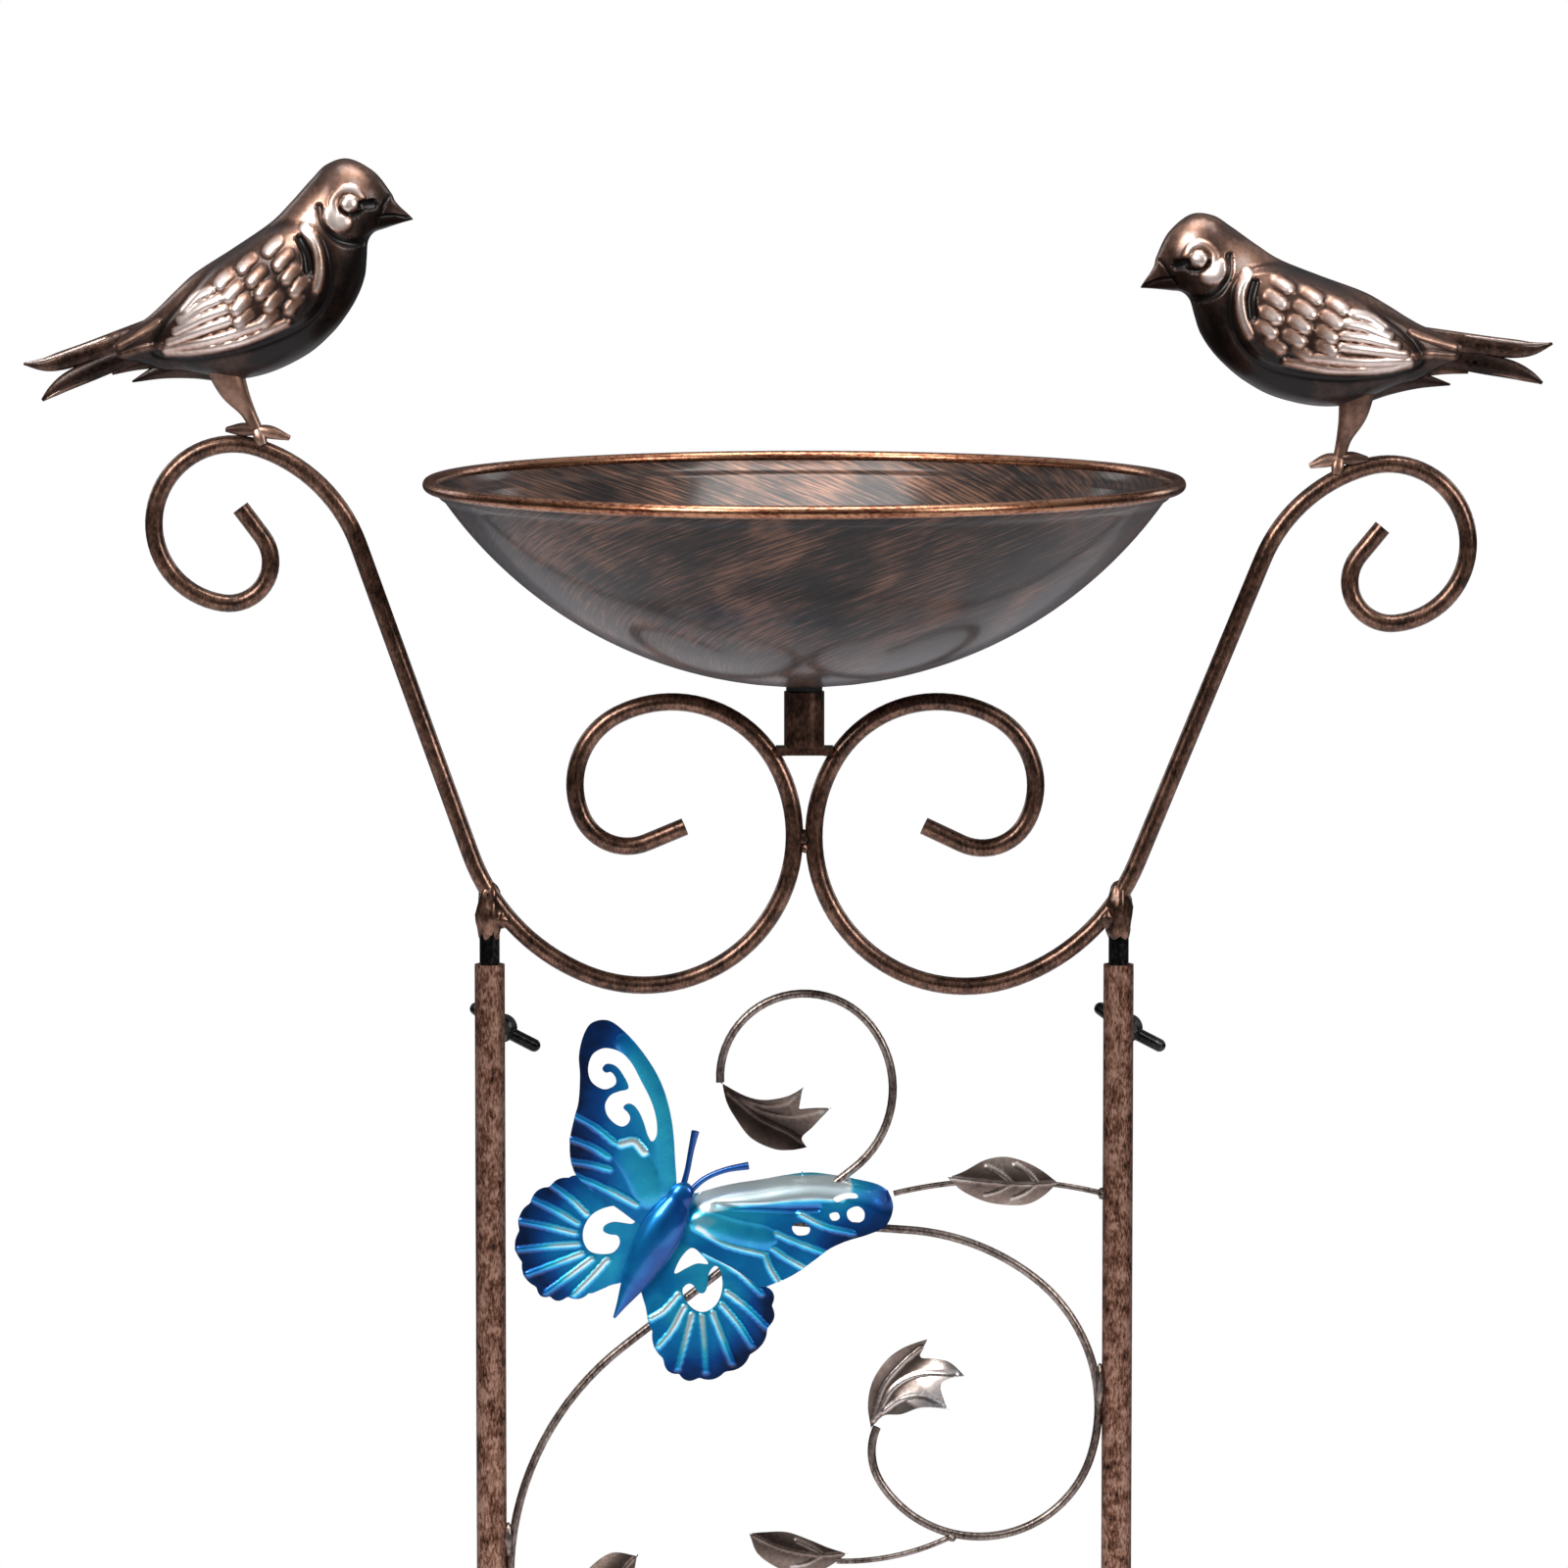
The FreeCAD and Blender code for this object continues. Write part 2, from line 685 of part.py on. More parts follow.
def right_vine_wire(long_vine):
    """From the long vine, out to the right post and round to the curled leaf."""
    start_z = float(POST_TOP - size("right_vine_drop"))
    turned = -float(size("right_vine_fall"))
    trial = Bend(0.0, start_z, turned).follow(RIGHT_VINE_BENDS)
    start_x = float(VINE_ON_POST) - Part.Wire(trial.edges).BoundBox.XMax
    slope = math.tan(math.radians(turned))
    met = [x for x, z in long_vine.points()
           if x < start_x and abs(z - start_z - (x - start_x) * slope) < 0.5]
    lead = start_x - max(met) - float(size("vine_radius") + BITE)
    wire = Bend(start_x - lead, start_z - lead * slope, turned)
    return wire.run(math.hypot(lead, lead * slope)).follow(RIGHT_VINE_BENDS)


def low_vine_wire():
    """From the right post round to a leaf near the foot."""
    wire = Bend(VINE_ON_POST, POST_TOP - size("low_vine_drop"), 270.0)
    return scroll_down(wire, LOW_VINE_BENDS)


def leaf_at(x, z, heading, length, width, forward=0.0):
    """A pointed leaf: its root at (x, z), its midrib along heading, its sheet set forward."""
    heading = math.radians(heading)
    along = (math.cos(heading), math.sin(heading))
    across = (-along[1], along[0])

    def at(u, v):
        return (x + along[0] * u + across[0] * v, z + along[1] * u + across[1] * v)

    half = width / 2
    upper = [at(0, 0.9), at(0.22 * length, half * 0.75), at(0.45 * length, half),
             at(0.75 * length, half * 0.6), at(length, 0)]
    lower = [at(length, 0), at(0.75 * length, -half * 0.6), at(0.45 * length, -half),
             at(0.22 * length, -half * 0.75), at(0, -0.9)]
    edges = [spline(upper), spline(lower),
             Part.LineSegment(Vector(upper[0][0], 0, upper[0][1]),
                              Vector(lower[-1][0], 0, lower[-1][1])).toShape()]
    leaf = plate(edges, float(size("leaf_sheet")))
    leaf.translate(Vector(0, -forward, 0))
    return leaf


def lobed_leaf(x, z, heading, root, lobes):
    """A leaf of several pointed lobes that share one root: (angle, length, width) each."""
    shapes = [leaf_at(x, z, heading + turn, length, width) for turn, length, width in lobes]
    whole = shapes[0]
    for shape in shapes[1:]:
        whole = whole.fuse(shape)
    heading = math.radians(heading)
    centre = Vector(x + root * math.cos(heading), 0, z + root * math.sin(heading))
    sheet_thick = float(size("leaf_sheet"))
    disc = Part.makeCylinder(root, sheet_thick, centre - Vector(0, sheet_thick / 2, 0),
                             Vector(0, 1, 0))
    return whole.fuse(disc).removeSplitter()


def make_vines():
    """The wires between the posts, their twigs and their leaves."""
    vine = size("vine_radius")
    twig = size("twig_radius")
    top = float(POST_TOP)
    long_vine = long_vine_wire()
    right_vine = right_vine_wire(long_vine)
    low_vine = low_vine_wire()
    feature("long_vine", long_vine.rod(vine))
    feature("right_vine", right_vine.rod(vine))
    feature("low_vine", low_vine.rod(vine))

    rail_end = float(HALF_SPACING - size("post_radius") + BITE)
    rail = Bend(-rail_end, size("rail_height"), 0.0).run(2 * rail_end)
    feature("bottom_rail", rail.rod(size("rail_radius")))

    side_twig = Bend(rail_end, top - SIDE_TWIG_DROP, SIDE_TWIG[0]).bend(*SIDE_TWIG[1])
    low_twig = Bend(LOW_TWIG_X, top - LOW_TWIG_DROP, LOW_TWIG[0]).bend(*LOW_TWIG[1])
    # it leaves the long vine part of the way round the first bend of its low scroll
    first_bend = -len(LONG_VINE_LOW_SCROLL)
    bend_length = long_vine.edges[first_bend].Length
    branch = long_vine.stations[first_bend - 1][0] + bend_length * LEFT_TWIG_SHARE
    branch_x, branch_z, _ = long_vine.at(branch)
    left_twig = Bend(branch_x, branch_z, LEFT_TWIG[0]).bend(*LEFT_TWIG[1])
    feature("side_twig", side_twig.rod(twig))
    feature("low_twig", low_twig.rod(twig))
    feature("left_twig", left_twig.rod(twig))

    # each leaf is on the tip of its wire, but for the side leaf, which lies on its twig
    vine_top = top - float(size("long_vine_drop"))
    feature("tulip_leaf", lobed_leaf(-float(size("long_vine_x")), vine_top, *TULIP_LEAF))
    feature("curled_leaf", lobed_leaf(right_vine.x, right_vine.z, *CURLED_LEAF))
    on_twig = float(twig + size("leaf_sheet") / 2 - BITE)
    root_x, root_drop = SIDE_LEAF_ROOT
    feature("side_leaf", leaf_at(root_x, top - root_drop, *SIDE_LEAF, forward=on_twig))
    feature("low_leaf", leaf_at(low_twig.x, low_twig.z, *LOW_LEAF))
    feature("left_leaf", leaf_at(left_twig.x, left_twig.z, *LEFT_LEAF))
    foot_heading = math.degrees(low_vine.heading)
    feature("foot_leaf", leaf_at(low_vine.x, low_vine.z, foot_heading, *FOOT_LEAF))


# ---------------------------------------------------------------- butterfly

# Outlines in the butterfly's own frame: u outwards from its body, v along it to the head.
LEFT_FORE = [(1.0, 17.0), (10.2, 30.9), (18.0, 43.5), (35.2, 56.3), (50.3, 63.6), (63.2, 62.8),
             (65.0, 55.6), (63.4, 47.6), (58.0, 40.3), (52.5, 26.9), (49.3, 15.3), (43.6, 7.3),
             (36.0, 4.8)]
LEFT_HIND = [(36.0, 4.8), (48.3, -5.1), (52.6, -17.6), (49.4, -29.2), (40.4, -39.9),
             (26.6, -44.8), (12.2, -38.7), (1.0, -20.0)]
RIGHT_FORE = [(1.0, 19.0), (17.7, 40.8), (27.4, 51.4), (45.9, 58.4), (63.3, 59.0), (76.4, 52.9),
              (77.2, 45.8), (67.1, 35.8), (55.8, 23.9), (47.1, 15.5), (34.0, 5.0)]
RIGHT_HIND = [(34.0, 5.0), (41.7, 5.0), (51.5, -0.7), (56.3, -13.6), (55.1, -27.7),
              (48.2, -39.4), (36.6, -46.7), (22.4, -43.3), (9.8, -30.2), (1.0, -19.0)]
# A pierced teardrop in each wing: centre (u, v), length, width and the way its tail points
LEFT_TEARS = [(43.0, 45.0, 34.0, 13.0, 225.0), (26.0, -14.0, 20.0, 13.0, 200.0)]
RIGHT_TEARS = [(62.0, 47.0, 12.0, 5.0, 250.0), (28.0, -18.0, 22.0, 11.0, 130.0)]

# The body's stations along v with its share of the full radius, and where the feelers start
MOTH_BODY = [(-39.0, 0.22), (-30.0, 0.45), (-18.0, 0.8), (-4.0, 1.0), (10.0, 1.0),
             (18.0, 0.85), (24.0, 0.75), (28.5, 0.3)]
MOTH_HEAD = 24.5
# Each feeler: the way it starts, how far it turns, and its length
FEELERS = [(114.0, -16.0, 22.0), (64.0, 24.0, 27.0)]


def tear(centre_u, centre_v, length, width, tail):
    """A teardrop outline: round at one end, drawn out to a tail at the other."""
    tail = math.radians(tail)
    points = []
    for along, across in ((-0.5, 0), (-0.3, 0.42), (0.0, 0.45), (0.5, 0.08),
                          (0.5, -0.08), (0.0, -0.45), (-0.3, -0.42)):
        u = along * length
        v = across * width
        points.append((centre_u + u * math.cos(tail) - v * math.sin(tail),
                       centre_v + u * math.sin(tail) + v * math.cos(tail)))
    return closed_outline(points)


def wing_pair(side, fore, hind, tears, body):
    """A fore and hind wing in one piece of sheet, trimmed to the body."""
    def to_side(points):
        return [(side * u, v) for u, v in points]

    fore, hind = to_side(fore), to_side(hind)
    root = Part.LineSegment(Vector(hind[-1][0], 0, hind[-1][1]),
                            Vector(fore[0][0], 0, fore[0][1])).toShape()
    thick = float(size("wing_sheet"))
    wings = plate([spline(fore), spline(hind), root], thick)
    for hole in tears:
        cut = plate(tear(*hole), thick * 3)
        if side < 0:
            cut = cut.mirror(Vector(), Vector(1, 0, 0))
        wings = wings.cut(cut)
    return wings.cut(body)


def make_butterfly():
    """Body, feelers and two pairs of wings, welded to the front of the long vine."""
    radius = float(size("moth_radius"))
    rings = [Part.Wire([Part.Circle(Vector(0, 0, v), Vector(0, 0, 1), radius * share).toShape()])
             for v, share in MOTH_BODY]
    body = Part.makeLoft(rings, True, False)
    feelers = []
    for heading, turn, length in FEELERS:
        wire = Bend(0.0, MOTH_HEAD, heading).bend(length / math.radians(abs(turn)), turn)
        feelers.append(wire.rod(size("feeler_radius")))
    shift = -float(size("vine_radius") + size("wing_sheet") / 2 - BITE)
    spot = Vector(float(size("moth_x")), shift, float(POST_TOP - size("moth_drop")))
    placement = Placement(spot, Rotation(Vector(0, 1, 0), float(size("moth_lean"))))
    feature("butterfly_left_wings",
            wing_pair(-1, LEFT_FORE, LEFT_HIND, LEFT_TEARS, body), placement)
    feature("butterfly_right_wings",
            wing_pair(1, RIGHT_FORE, RIGHT_HIND, RIGHT_TEARS, body), placement)
    feature("butterfly_body", body, placement)
    feature("butterfly_feelers", feelers[0].fuse(feelers[1]).cut(body), placement)


# ---------------------------------------------------------------- birds

# Sections of a bird from beak to tail: along the bird, centre height, half height, half width
BIRD_SECTIONS = [(0.8, 1.2, 1.2, 0.9), (8.0, 12.0, 9.5, 6.0), (16.0, 16.0, 15.2, 10.0),
                 (25.0, 10.0, 21.5, 13.5), (38.0, 0.0, 25.5, 17.0), (55.0, -9.0, 26.0, 19.5),
                 (75.0, -12.0, 25.0, 19.5), (92.0, -12.5, 21.0, 16.5), (110.0, -11.4, 12.4, 11.0),
                 (125.0, -11.4, 10.2, 7.0), (140.0, -8.8, 7.7, 3.6), (164.0, -8.2, 8.2, 1.3)]
BIRD_FOOT = (87.5, -58.8)


def half_loft(sections, way):
    """One half of a bird-shaped solid, flat on the seam plane, on the way side of it."""
    rings = []
    for x, centre, high, wide in sections:
        points = [Vector(x, way * wide * math.sin(angle), centre + high * math.cos(angle))
                  for angle in (math.radians(18 * i) for i in range(11))]
        curve = Part.BSplineCurve()
        curve.interpolate(points)
        seam = Part.LineSegment(points[-1], points[0])
        rings.append(Part.Wire([curve.toShape(), seam.toShape()]))
    return Part.makeLoft(rings, True, False)


def bird_half(way):
    """A stamped half shell: thin sheet, open on the seam plane."""
    thick = float(size("bird_sheet"))
    outer = half_loft(BIRD_SECTIONS, way)
    inside = [(x, centre, high - thick, wide - thick)
              for x, centre, high, wide in BIRD_SECTIONS[1:-1]]
    return outer.cut(half_loft(inside, way))


def bird_legs(height):
    """Two legs that close on the rod, and the toes that grip it."""
    leg = float(size("leg_radius"))
    toe = float(size("toe_radius"))
    reach = float(size("toe_reach"))
    shape = None
    for way in (1, -1):
        foot = Vector(0, way * toe * 0.7, 0)
        hip = Vector(0, way * 6.0, height)
        parts = [Part.makeCylinder(leg, (hip - foot).Length, foot, hip - foot),
                 Part.makeCylinder(toe, 2 * reach, foot - Vector(reach, 0, 0), Vector(1, 0, 0)),
                 Part.makeSphere(toe, foot - Vector(reach, 0, 0)),
                 Part.makeSphere(toe, foot + Vector(reach, 0, 0))]
        for part in parts:
            shape = part if shape is None else shape.fuse(part)
    return shape.removeSplitter()


def make_bird(name, side, perch, pitch):
    """A bird on top of an arm's outer scroll, looking inwards."""
    points = arm_wire(side).points()
    x = side * float(perch)
    crest = max(z for px, z in points if abs(px - x) < 0.8)
    before = max(z for px, z in points if abs(px - (x - 3)) < 0.8)
    after = max(z for px, z in points if abs(px - (x + 3)) < 0.8)
    slope = math.degrees(math.atan2(after - before, 6.0))
    toe = float(size("toe_radius"))
    stand = float(size("arm_radius")) + toe - 2 * float(BITE)
    lift = math.radians(slope)
    foot = Vector(x - stand * math.sin(lift), 0, crest + stand * math.cos(lift))
    angle = float(pitch) if side < 0 else -float(pitch)
    # the bird is drawn from beak to tail along +X: the left one is turned about to face +X
    turned = Rotation(Vector(0, -1, 0), angle)
    if side < 0:
        turned = turned * Rotation(Vector(0, 0, 1), 180.0)
    seat = foot - turned.multVec(Vector(BIRD_FOOT[0], 0, BIRD_FOOT[1]))
    placement = Placement(seat, turned)
    front = 1 if side < 0 else -1
    feature(f"{name}_bird_front_shell", bird_half(front), placement)
    feature(f"{name}_bird_rear_shell", bird_half(-front), placement)
    placed = bird_legs(float(size("leg_height")))
    placed.Placement = Placement(foot, Rotation(Vector(0, -1, 0), slope))
    for way in (front, -front):
        solid = half_loft(BIRD_SECTIONS, way)
        solid.Placement = placement
        placed = placed.cut(solid)
    feature(f"{name}_bird_legs", placed)


make_posts()
make_arms()
make_socket()
make_bowl()
make_vines()
make_butterfly()
make_bird("left", -1, size("left_perch"), size("left_pitch"))
make_bird("right", 1, size("right_perch"), size("right_pitch"))
doc.recompute()

# ---------------------------------------------------------------- check and write

for item in doc.Objects:
    if "Invalid" in item.State or "Error" in item.State:
        raise RuntimeError(f"{item.Label}: {item.State}")
for item in pieces:
    if item.Shape.isNull() or not item.Shape.isValid():
        raise RuntimeError(f"{item.Label}: no valid shape")
for item in pieces:
    item.Shape.exportStep(f"parts/{item.Label}.step")
    box = item.Shape.BoundBox
    print(f"{item.Label}: {len(item.Shape.Solids)} solid(s), {item.Shape.Volume:.0f} mm3,"
          f" z {box.ZMin:.1f} to {box.ZMax:.1f}")
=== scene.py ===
"""A bird bath on scrolled rods: stamped birds, spun bowl, wire vines and a lacquered butterfly.

Sizes are in millimetres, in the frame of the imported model, and become metres when a mesh is made.
"""

import logging
import math
from dataclasses import dataclass, replace
from enum import Enum
from typing import Any, Callable, ClassVar, Sequence

import bpy
import numpy as np
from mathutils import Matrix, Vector

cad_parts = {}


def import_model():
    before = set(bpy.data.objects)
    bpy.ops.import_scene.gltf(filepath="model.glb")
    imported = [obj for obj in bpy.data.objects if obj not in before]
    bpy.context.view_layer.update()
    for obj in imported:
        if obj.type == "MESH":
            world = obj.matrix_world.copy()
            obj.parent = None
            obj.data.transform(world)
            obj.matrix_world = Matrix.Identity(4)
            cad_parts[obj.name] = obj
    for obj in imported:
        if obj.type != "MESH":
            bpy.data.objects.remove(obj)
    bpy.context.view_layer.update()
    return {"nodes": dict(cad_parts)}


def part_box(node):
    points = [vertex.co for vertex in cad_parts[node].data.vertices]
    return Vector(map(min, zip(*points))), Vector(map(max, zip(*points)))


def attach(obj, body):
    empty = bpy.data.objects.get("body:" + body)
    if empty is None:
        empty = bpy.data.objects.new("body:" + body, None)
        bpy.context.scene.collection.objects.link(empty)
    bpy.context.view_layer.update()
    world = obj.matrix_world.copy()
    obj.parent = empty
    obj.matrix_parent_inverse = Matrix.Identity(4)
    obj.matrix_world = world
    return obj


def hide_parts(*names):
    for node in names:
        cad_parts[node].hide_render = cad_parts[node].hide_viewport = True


MM = 0.001
log = logging.getLogger("bird_bath")

Flat = Sequence[tuple[float, float]]
Rows = np.ndarray
Stops = Sequence[tuple[float, str]]


class Side(Enum):
    """The two sides of the piece, and the way each lies along X."""

    LEFT = -1
    RIGHT = 1


# ------------------------------------------------------------------ lines and outlines


def smooth_line(points: Sequence[Sequence[float]], count: int, closed: bool = False) -> Rows:
    """A smooth line through every one of some points.

    Args:
        points: the points, of any number of dimensions.
        count: how many rows to give back, the same number between each two points.
        closed: whether the line runs on from its last point to its first.

    Returns:
        The line's points, one a row.
    """
    rows = np.array(points, float)
    if closed:
        rows = np.vstack([rows[-1], rows, rows[0], rows[1]])
    else:
        rows = np.vstack([2 * rows[0] - rows[1], rows, 2 * rows[-1] - rows[-2]])
    spans = len(rows) - 3
    where = np.linspace(0, spans, count, endpoint=not closed)
    span = np.minimum(where.astype(int), spans - 1)
    t = (where - span)[:, None]
    a, b, c, d = (rows[span + k] for k in range(4))
    return 0.5 * (
        2 * b + (c - a) * t + (2 * a - 5 * b + 4 * c - d) * t**2 + (3 * b - a - 3 * c + d) * t**3
    )


def line_distance(points: Rows, line: Rows) -> tuple[Rows, Rows]:
    """How far points are from a line, and how far along it the nearest place is.

    Args:
        points: rows of two.
        line: rows of two, joined in order.

    Returns:
        The distances, and the share of the line's length at the nearest place.
    """
    best = np.full(len(points), np.inf)
    share = np.zeros(len(points))
    lengths = np.linalg.norm(np.diff(line, axis=0), axis=1)
    starts = np.concatenate([[0.0], np.cumsum(lengths)])
    for index, (a, b) in enumerate(zip(line[:-1], line[1:])):
        d = b - a
        t = np.clip(((points - a) @ d) / max(float(d @ d), 1e-12), 0, 1)
        away = np.linalg.norm(points - a - t[:, None] * d, axis=1)
        nearer = away < best
        best[nearer] = away[nearer]
        share[nearer] = ((starts[index] + t * lengths[index]) / starts[-1])[nearer]
    return best, share


def depth_in(points: Rows, outline: Rows) -> Rows:
    """How deep points lie inside a closed outline.

    Args:
        points: rows of two.
        outline: the closed edge, rows of two.

    Returns:
        The depth of each point, which is negative outside the outline.
    """
    ring = np.vstack([outline, outline[:1]])
    away = line_distance(points, ring)[0]
    inside = np.zeros(len(points), bool)
    for a, b in zip(ring[:-1], ring[1:]):
        crosses = (a[1] > points[:, 1]) != (b[1] > points[:, 1])
        rise = b[1] - a[1] if abs(b[1] - a[1]) > 1e-12 else 1e-12
        at = a[0] + (points[:, 1] - a[1]) * (b[0] - a[0]) / rise
        inside ^= crosses & (points[:, 0] < at)
    return np.where(inside, away, -away)


def turned(points: Rows, turn: float, seat: Sequence[float]) -> Rows:
    """Points turned in the plane of X and Z and moved to a seat.

    Args:
        points: rows of three.
        turn: degrees, from X towards Z.
        seat: where the points' own origin goes.

    Returns:
        The moved points.
    """
    c, s = math.cos(math.radians(turn)), math.sin(math.radians(turn))
    x, y, z = points[:, 0], points[:, 1], points[:, 2]
    return np.stack([x * c - z * s + seat[0], y + seat[1], x * s + z * c + seat[2]], 1)


def ease(values: Rows) -> Rows:
    """Nought to one with soft ends."""
    held = np.clip(values, 0, 1)
    return held * held * (3 - 2 * held)


@dataclass(frozen=True)
class Stroke:
    """A ridge or a groove that a stamping tool leaves along a line.

    Fields: the line's points, the half width, and the height, which is negative for a groove.
    `rise` is the share of the height that the stroke has at its start, and the last field how bright the
    stroke is painted against a plain ridge of the same height: rubbed pale on a leaf's vein, a painted
    highlight on a butterfly's rib.
    """

    points: Flat
    width: float
    height: float
    rise: float = 1.0
    rub_and_highlight: float = 1.0

    def on(self, spots: Rows) -> Rows:
        """The stroke's height at each spot."""
        line = smooth_line(self.points, 4 * len(self.points))
        away, share = line_distance(spots, line)
        round_over = np.sqrt(np.clip(1 - (away / self.width) ** 2, 0, 1))
        return self.height * round_over * (self.rise + (1 - self.rise) * share)


def stamped(strokes: Sequence[Stroke], spots: Rows) -> Rows:
    """Heights of many strokes together.

    Args:
        strokes: the ridges and grooves.
        spots: rows of two.

    Returns:
        At each spot, the tallest ridge and the deepest groove added up.
    """
    up = np.zeros(len(spots))
    down = np.zeros(len(spots))
    for stroke in strokes:
        height = stroke.on(spots)
        up = np.maximum(up, height)
        down = np.minimum(down, height)
    return up + down


# ------------------------------------------------------------------ meshes


@dataclass
class Piece:
    """One named mesh, the body it rides on and the nodes it stands for."""

    name: str
    body: str
    slot: str
    finish: "Finish"
    replaces: tuple[str, ...] = ()
    crease: float = 42.0

    def make(
        self,
        points: Rows,
        faces: list,
        marks: dict[str, Rows] | None = None,
        sheet: float = 0.0,
    ) -> bpy.types.Object:
        """Makes the mesh and fixes it to its body.

        Args:
            points: corners in millimetres, one a row.
            faces: corner numbers of each face.
            marks: named values, one for each corner, that the finish reads.
            sheet: thickness that an open surface is given, in millimetres.

        Returns:
            The new object.
        """
        mesh = bpy.data.meshes.new(self.name)
        mesh.from_pydata((np.asarray(points) * MM).tolist(), [], faces)
        for title, values in (marks or {}).items():
            layer = mesh.attributes.new(title, "FLOAT", "POINT")
            layer.data.foreach_set("value", np.asarray(values, np.float32))
        made = bpy.data.objects.new(self.name, mesh)
        bpy.context.scene.collection.objects.link(made)
        if sheet:
            solid = made.modifiers.new("sheet", "SOLIDIFY")
            solid.thickness = sheet * MM
            solid.offset = 0.0
            solid.use_even_offset = True
            bpy.context.view_layer.update()
            ready = made.evaluated_get(bpy.context.evaluated_depsgraph_get())
            made.data = bpy.data.meshes.new_from_object(ready)
            made.modifiers.clear()
            made.data.name = self.name
        made.data.validate()
        made.data.shade_smooth()
        made.data.set_sharp_from_angle(angle=math.radians(self.crease))
        made.data.materials.clear()
        made.data.materials.append(self.finish.material())
        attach(made, self.body)
        if self.replaces:
            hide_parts(*self.replaces)
        log.info("%s: %d corners, on %s", self.name, len(made.data.vertices), self.body)
        return made


class Mould:
    """Corners and faces gathered from several closed shapes, for one piece."""

    def __init__(self) -> None:
        """Starts empty."""
        self.points: list[Rows] = []
        self.faces: list[tuple[int, ...]] = []
        self.marks: list[Rows] = []
        self.count = 0

    def add(self, points: Rows, faces: list, mark: Rows | float = 0.0) -> None:
        """Adds a closed shape.

        Args:
            points: its corners, one a row.
            faces: corner numbers of each face.
            mark: one value, or one for each corner.
        """
        self.points.append(points)
        self.marks.append(np.broadcast_to(mark, (len(points),)))
        self.faces += [tuple(corner + self.count for corner in face) for face in faces]
        self.count += len(points)

    def rings(self, rings: Rows, mark: Rows | float = 0.0) -> None:
        """Adds a closed skin over rings of corners, with a fan over each end.

        Args:
            rings: an array of ring, corner and coordinate.
            mark: one value, or one for each corner in order.
        """
        many, around, _ = rings.shape
        faces = [
            (
                i * around + j,
                i * around + (j + 1) % around,
                (i + 1) * around + (j + 1) % around,
                (i + 1) * around + j,
            )
            for i in range(many - 1)
            for j in range(around)
        ]
        first, last = many * around, many * around + 1
        for j in range(around):
            faces.append((first, (j + 1) % around, j))
            end = (many - 1) * around
            faces.append((last, end + j, end + (j + 1) % around))
        corners = np.vstack([rings.reshape(-1, 3), rings[0].mean(0), rings[-1].mean(0)])
        if not np.isscalar(mark):
            mark = np.concatenate([np.asarray(mark).ravel(), [0.0, 0.0]])
        self.add(corners, faces, mark)

    def rod(
        self,
        path: Sequence[Sequence[float]],
        radii: Sequence[float],
        deep: float = 1.0,
        around: int = 20,
        steps: int = 8,
        mark: float = 0.5,
    ) -> None:
        """Adds a round or flattened rod that follows a path in the X and Z plane.

        Args:
            path: points of the centre line.
            radii: the rod's radius at each point, in the plane of X and Z.
            deep: its depth along Y as a share of that radius.
            around: corners in each ring.
            steps: rings between two points.
            mark: the mark of all its corners.
        """
        count = steps * (len(path) - 1) + 1
        line = smooth_line(path, count)
        radius = np.clip(smooth_line([(r,) for r in radii], count)[:, 0], 0.05, None)
        along = np.gradient(line, axis=0)
        along /= np.linalg.norm(along, axis=1)[:, None]
        across = np.stack([-along[:, 2], np.zeros(count), along[:, 0]], 1)
        across /= np.linalg.norm(across, axis=1)[:, None]
        out = np.cross(along, across)
        turn = np.linspace(0, 2 * math.pi, around, endpoint=False)
        ring = (
            across[:, None, :] * np.cos(turn)[None, :, None]
            + out[:, None, :] * (deep * np.sin(turn))[None, :, None]
        )
        self.rings(line[:, None, :] + radius[:, None, None] * ring, mark)

    def all_points(self) -> Rows:
        """Every corner so far."""
        return np.vstack(self.points)

    def all_marks(self) -> Rows:
        """The mark of every corner so far."""
        return np.concatenate(self.marks)


def cut_sheet(outline: Rows, holes: Sequence[Rows], cell: float) -> tuple[Rows, list]:
    """A flat net of small faces trimmed to an outline and pierced by holes.

    Args:
        outline: the closed edge of the blank.
        holes: closed edges of what is pierced.
        cell: the size of one face.

    Returns:
        The flat corners, one a row, and the faces.
    """
    low, high = outline.min(0) - 2 * cell, outline.max(0) + 2 * cell
    us, vs = (np.arange(low[k], high[k] + cell, cell) for k in (0, 1))
    grid = np.stack(np.meshgrid(us, vs, indexing="ij"), -1)
    spots = grid.reshape(-1, 2)
    depth = depth_in(spots, outline)
    for hole in holes:
        depth = np.minimum(depth, -depth_in(spots, hole))
    least = 0.06 * cell
    depth = np.where(np.abs(depth) < least, np.where(depth < 0, -least, least), depth)
    depth = depth.reshape(grid.shape[:2])
    corners: list[Rows] = []
    known: dict[tuple, int] = {}
    faces = []

    def corner(key: tuple, place: Rows) -> int:
        """The number of a corner, made when it is first asked for."""
        if key not in known:
            known[key] = len(corners)
            corners.append(place)
        return known[key]

    for i in range(len(us) - 1):
        for j in range(len(vs) - 1):
            around = [(i, j), (i + 1, j), (i + 1, j + 1), (i, j + 1)]
            deep = [depth[spot] for spot in around]
            if max(deep) <= 0:
                continue
            face = []
            for k in range(4):
                here, there = around[k], around[(k + 1) % 4]
                a, b = deep[k], deep[(k + 1) % 4]
                if a > 0:
                    face.append(corner(here, grid[here]))
                if (a > 0) != (b > 0):
                    first, second = sorted((here, there))
                    p, q = depth[first], depth[second]
                    place = grid[first] + (grid[second] - grid[first]) * (p / (p - q))
                    face.append(corner((first, second), place))
            if len(face) > 2:
                faces.append(tuple(face))
    return np.array(corners), faces


# ------------------------------------------------------------------ finishes


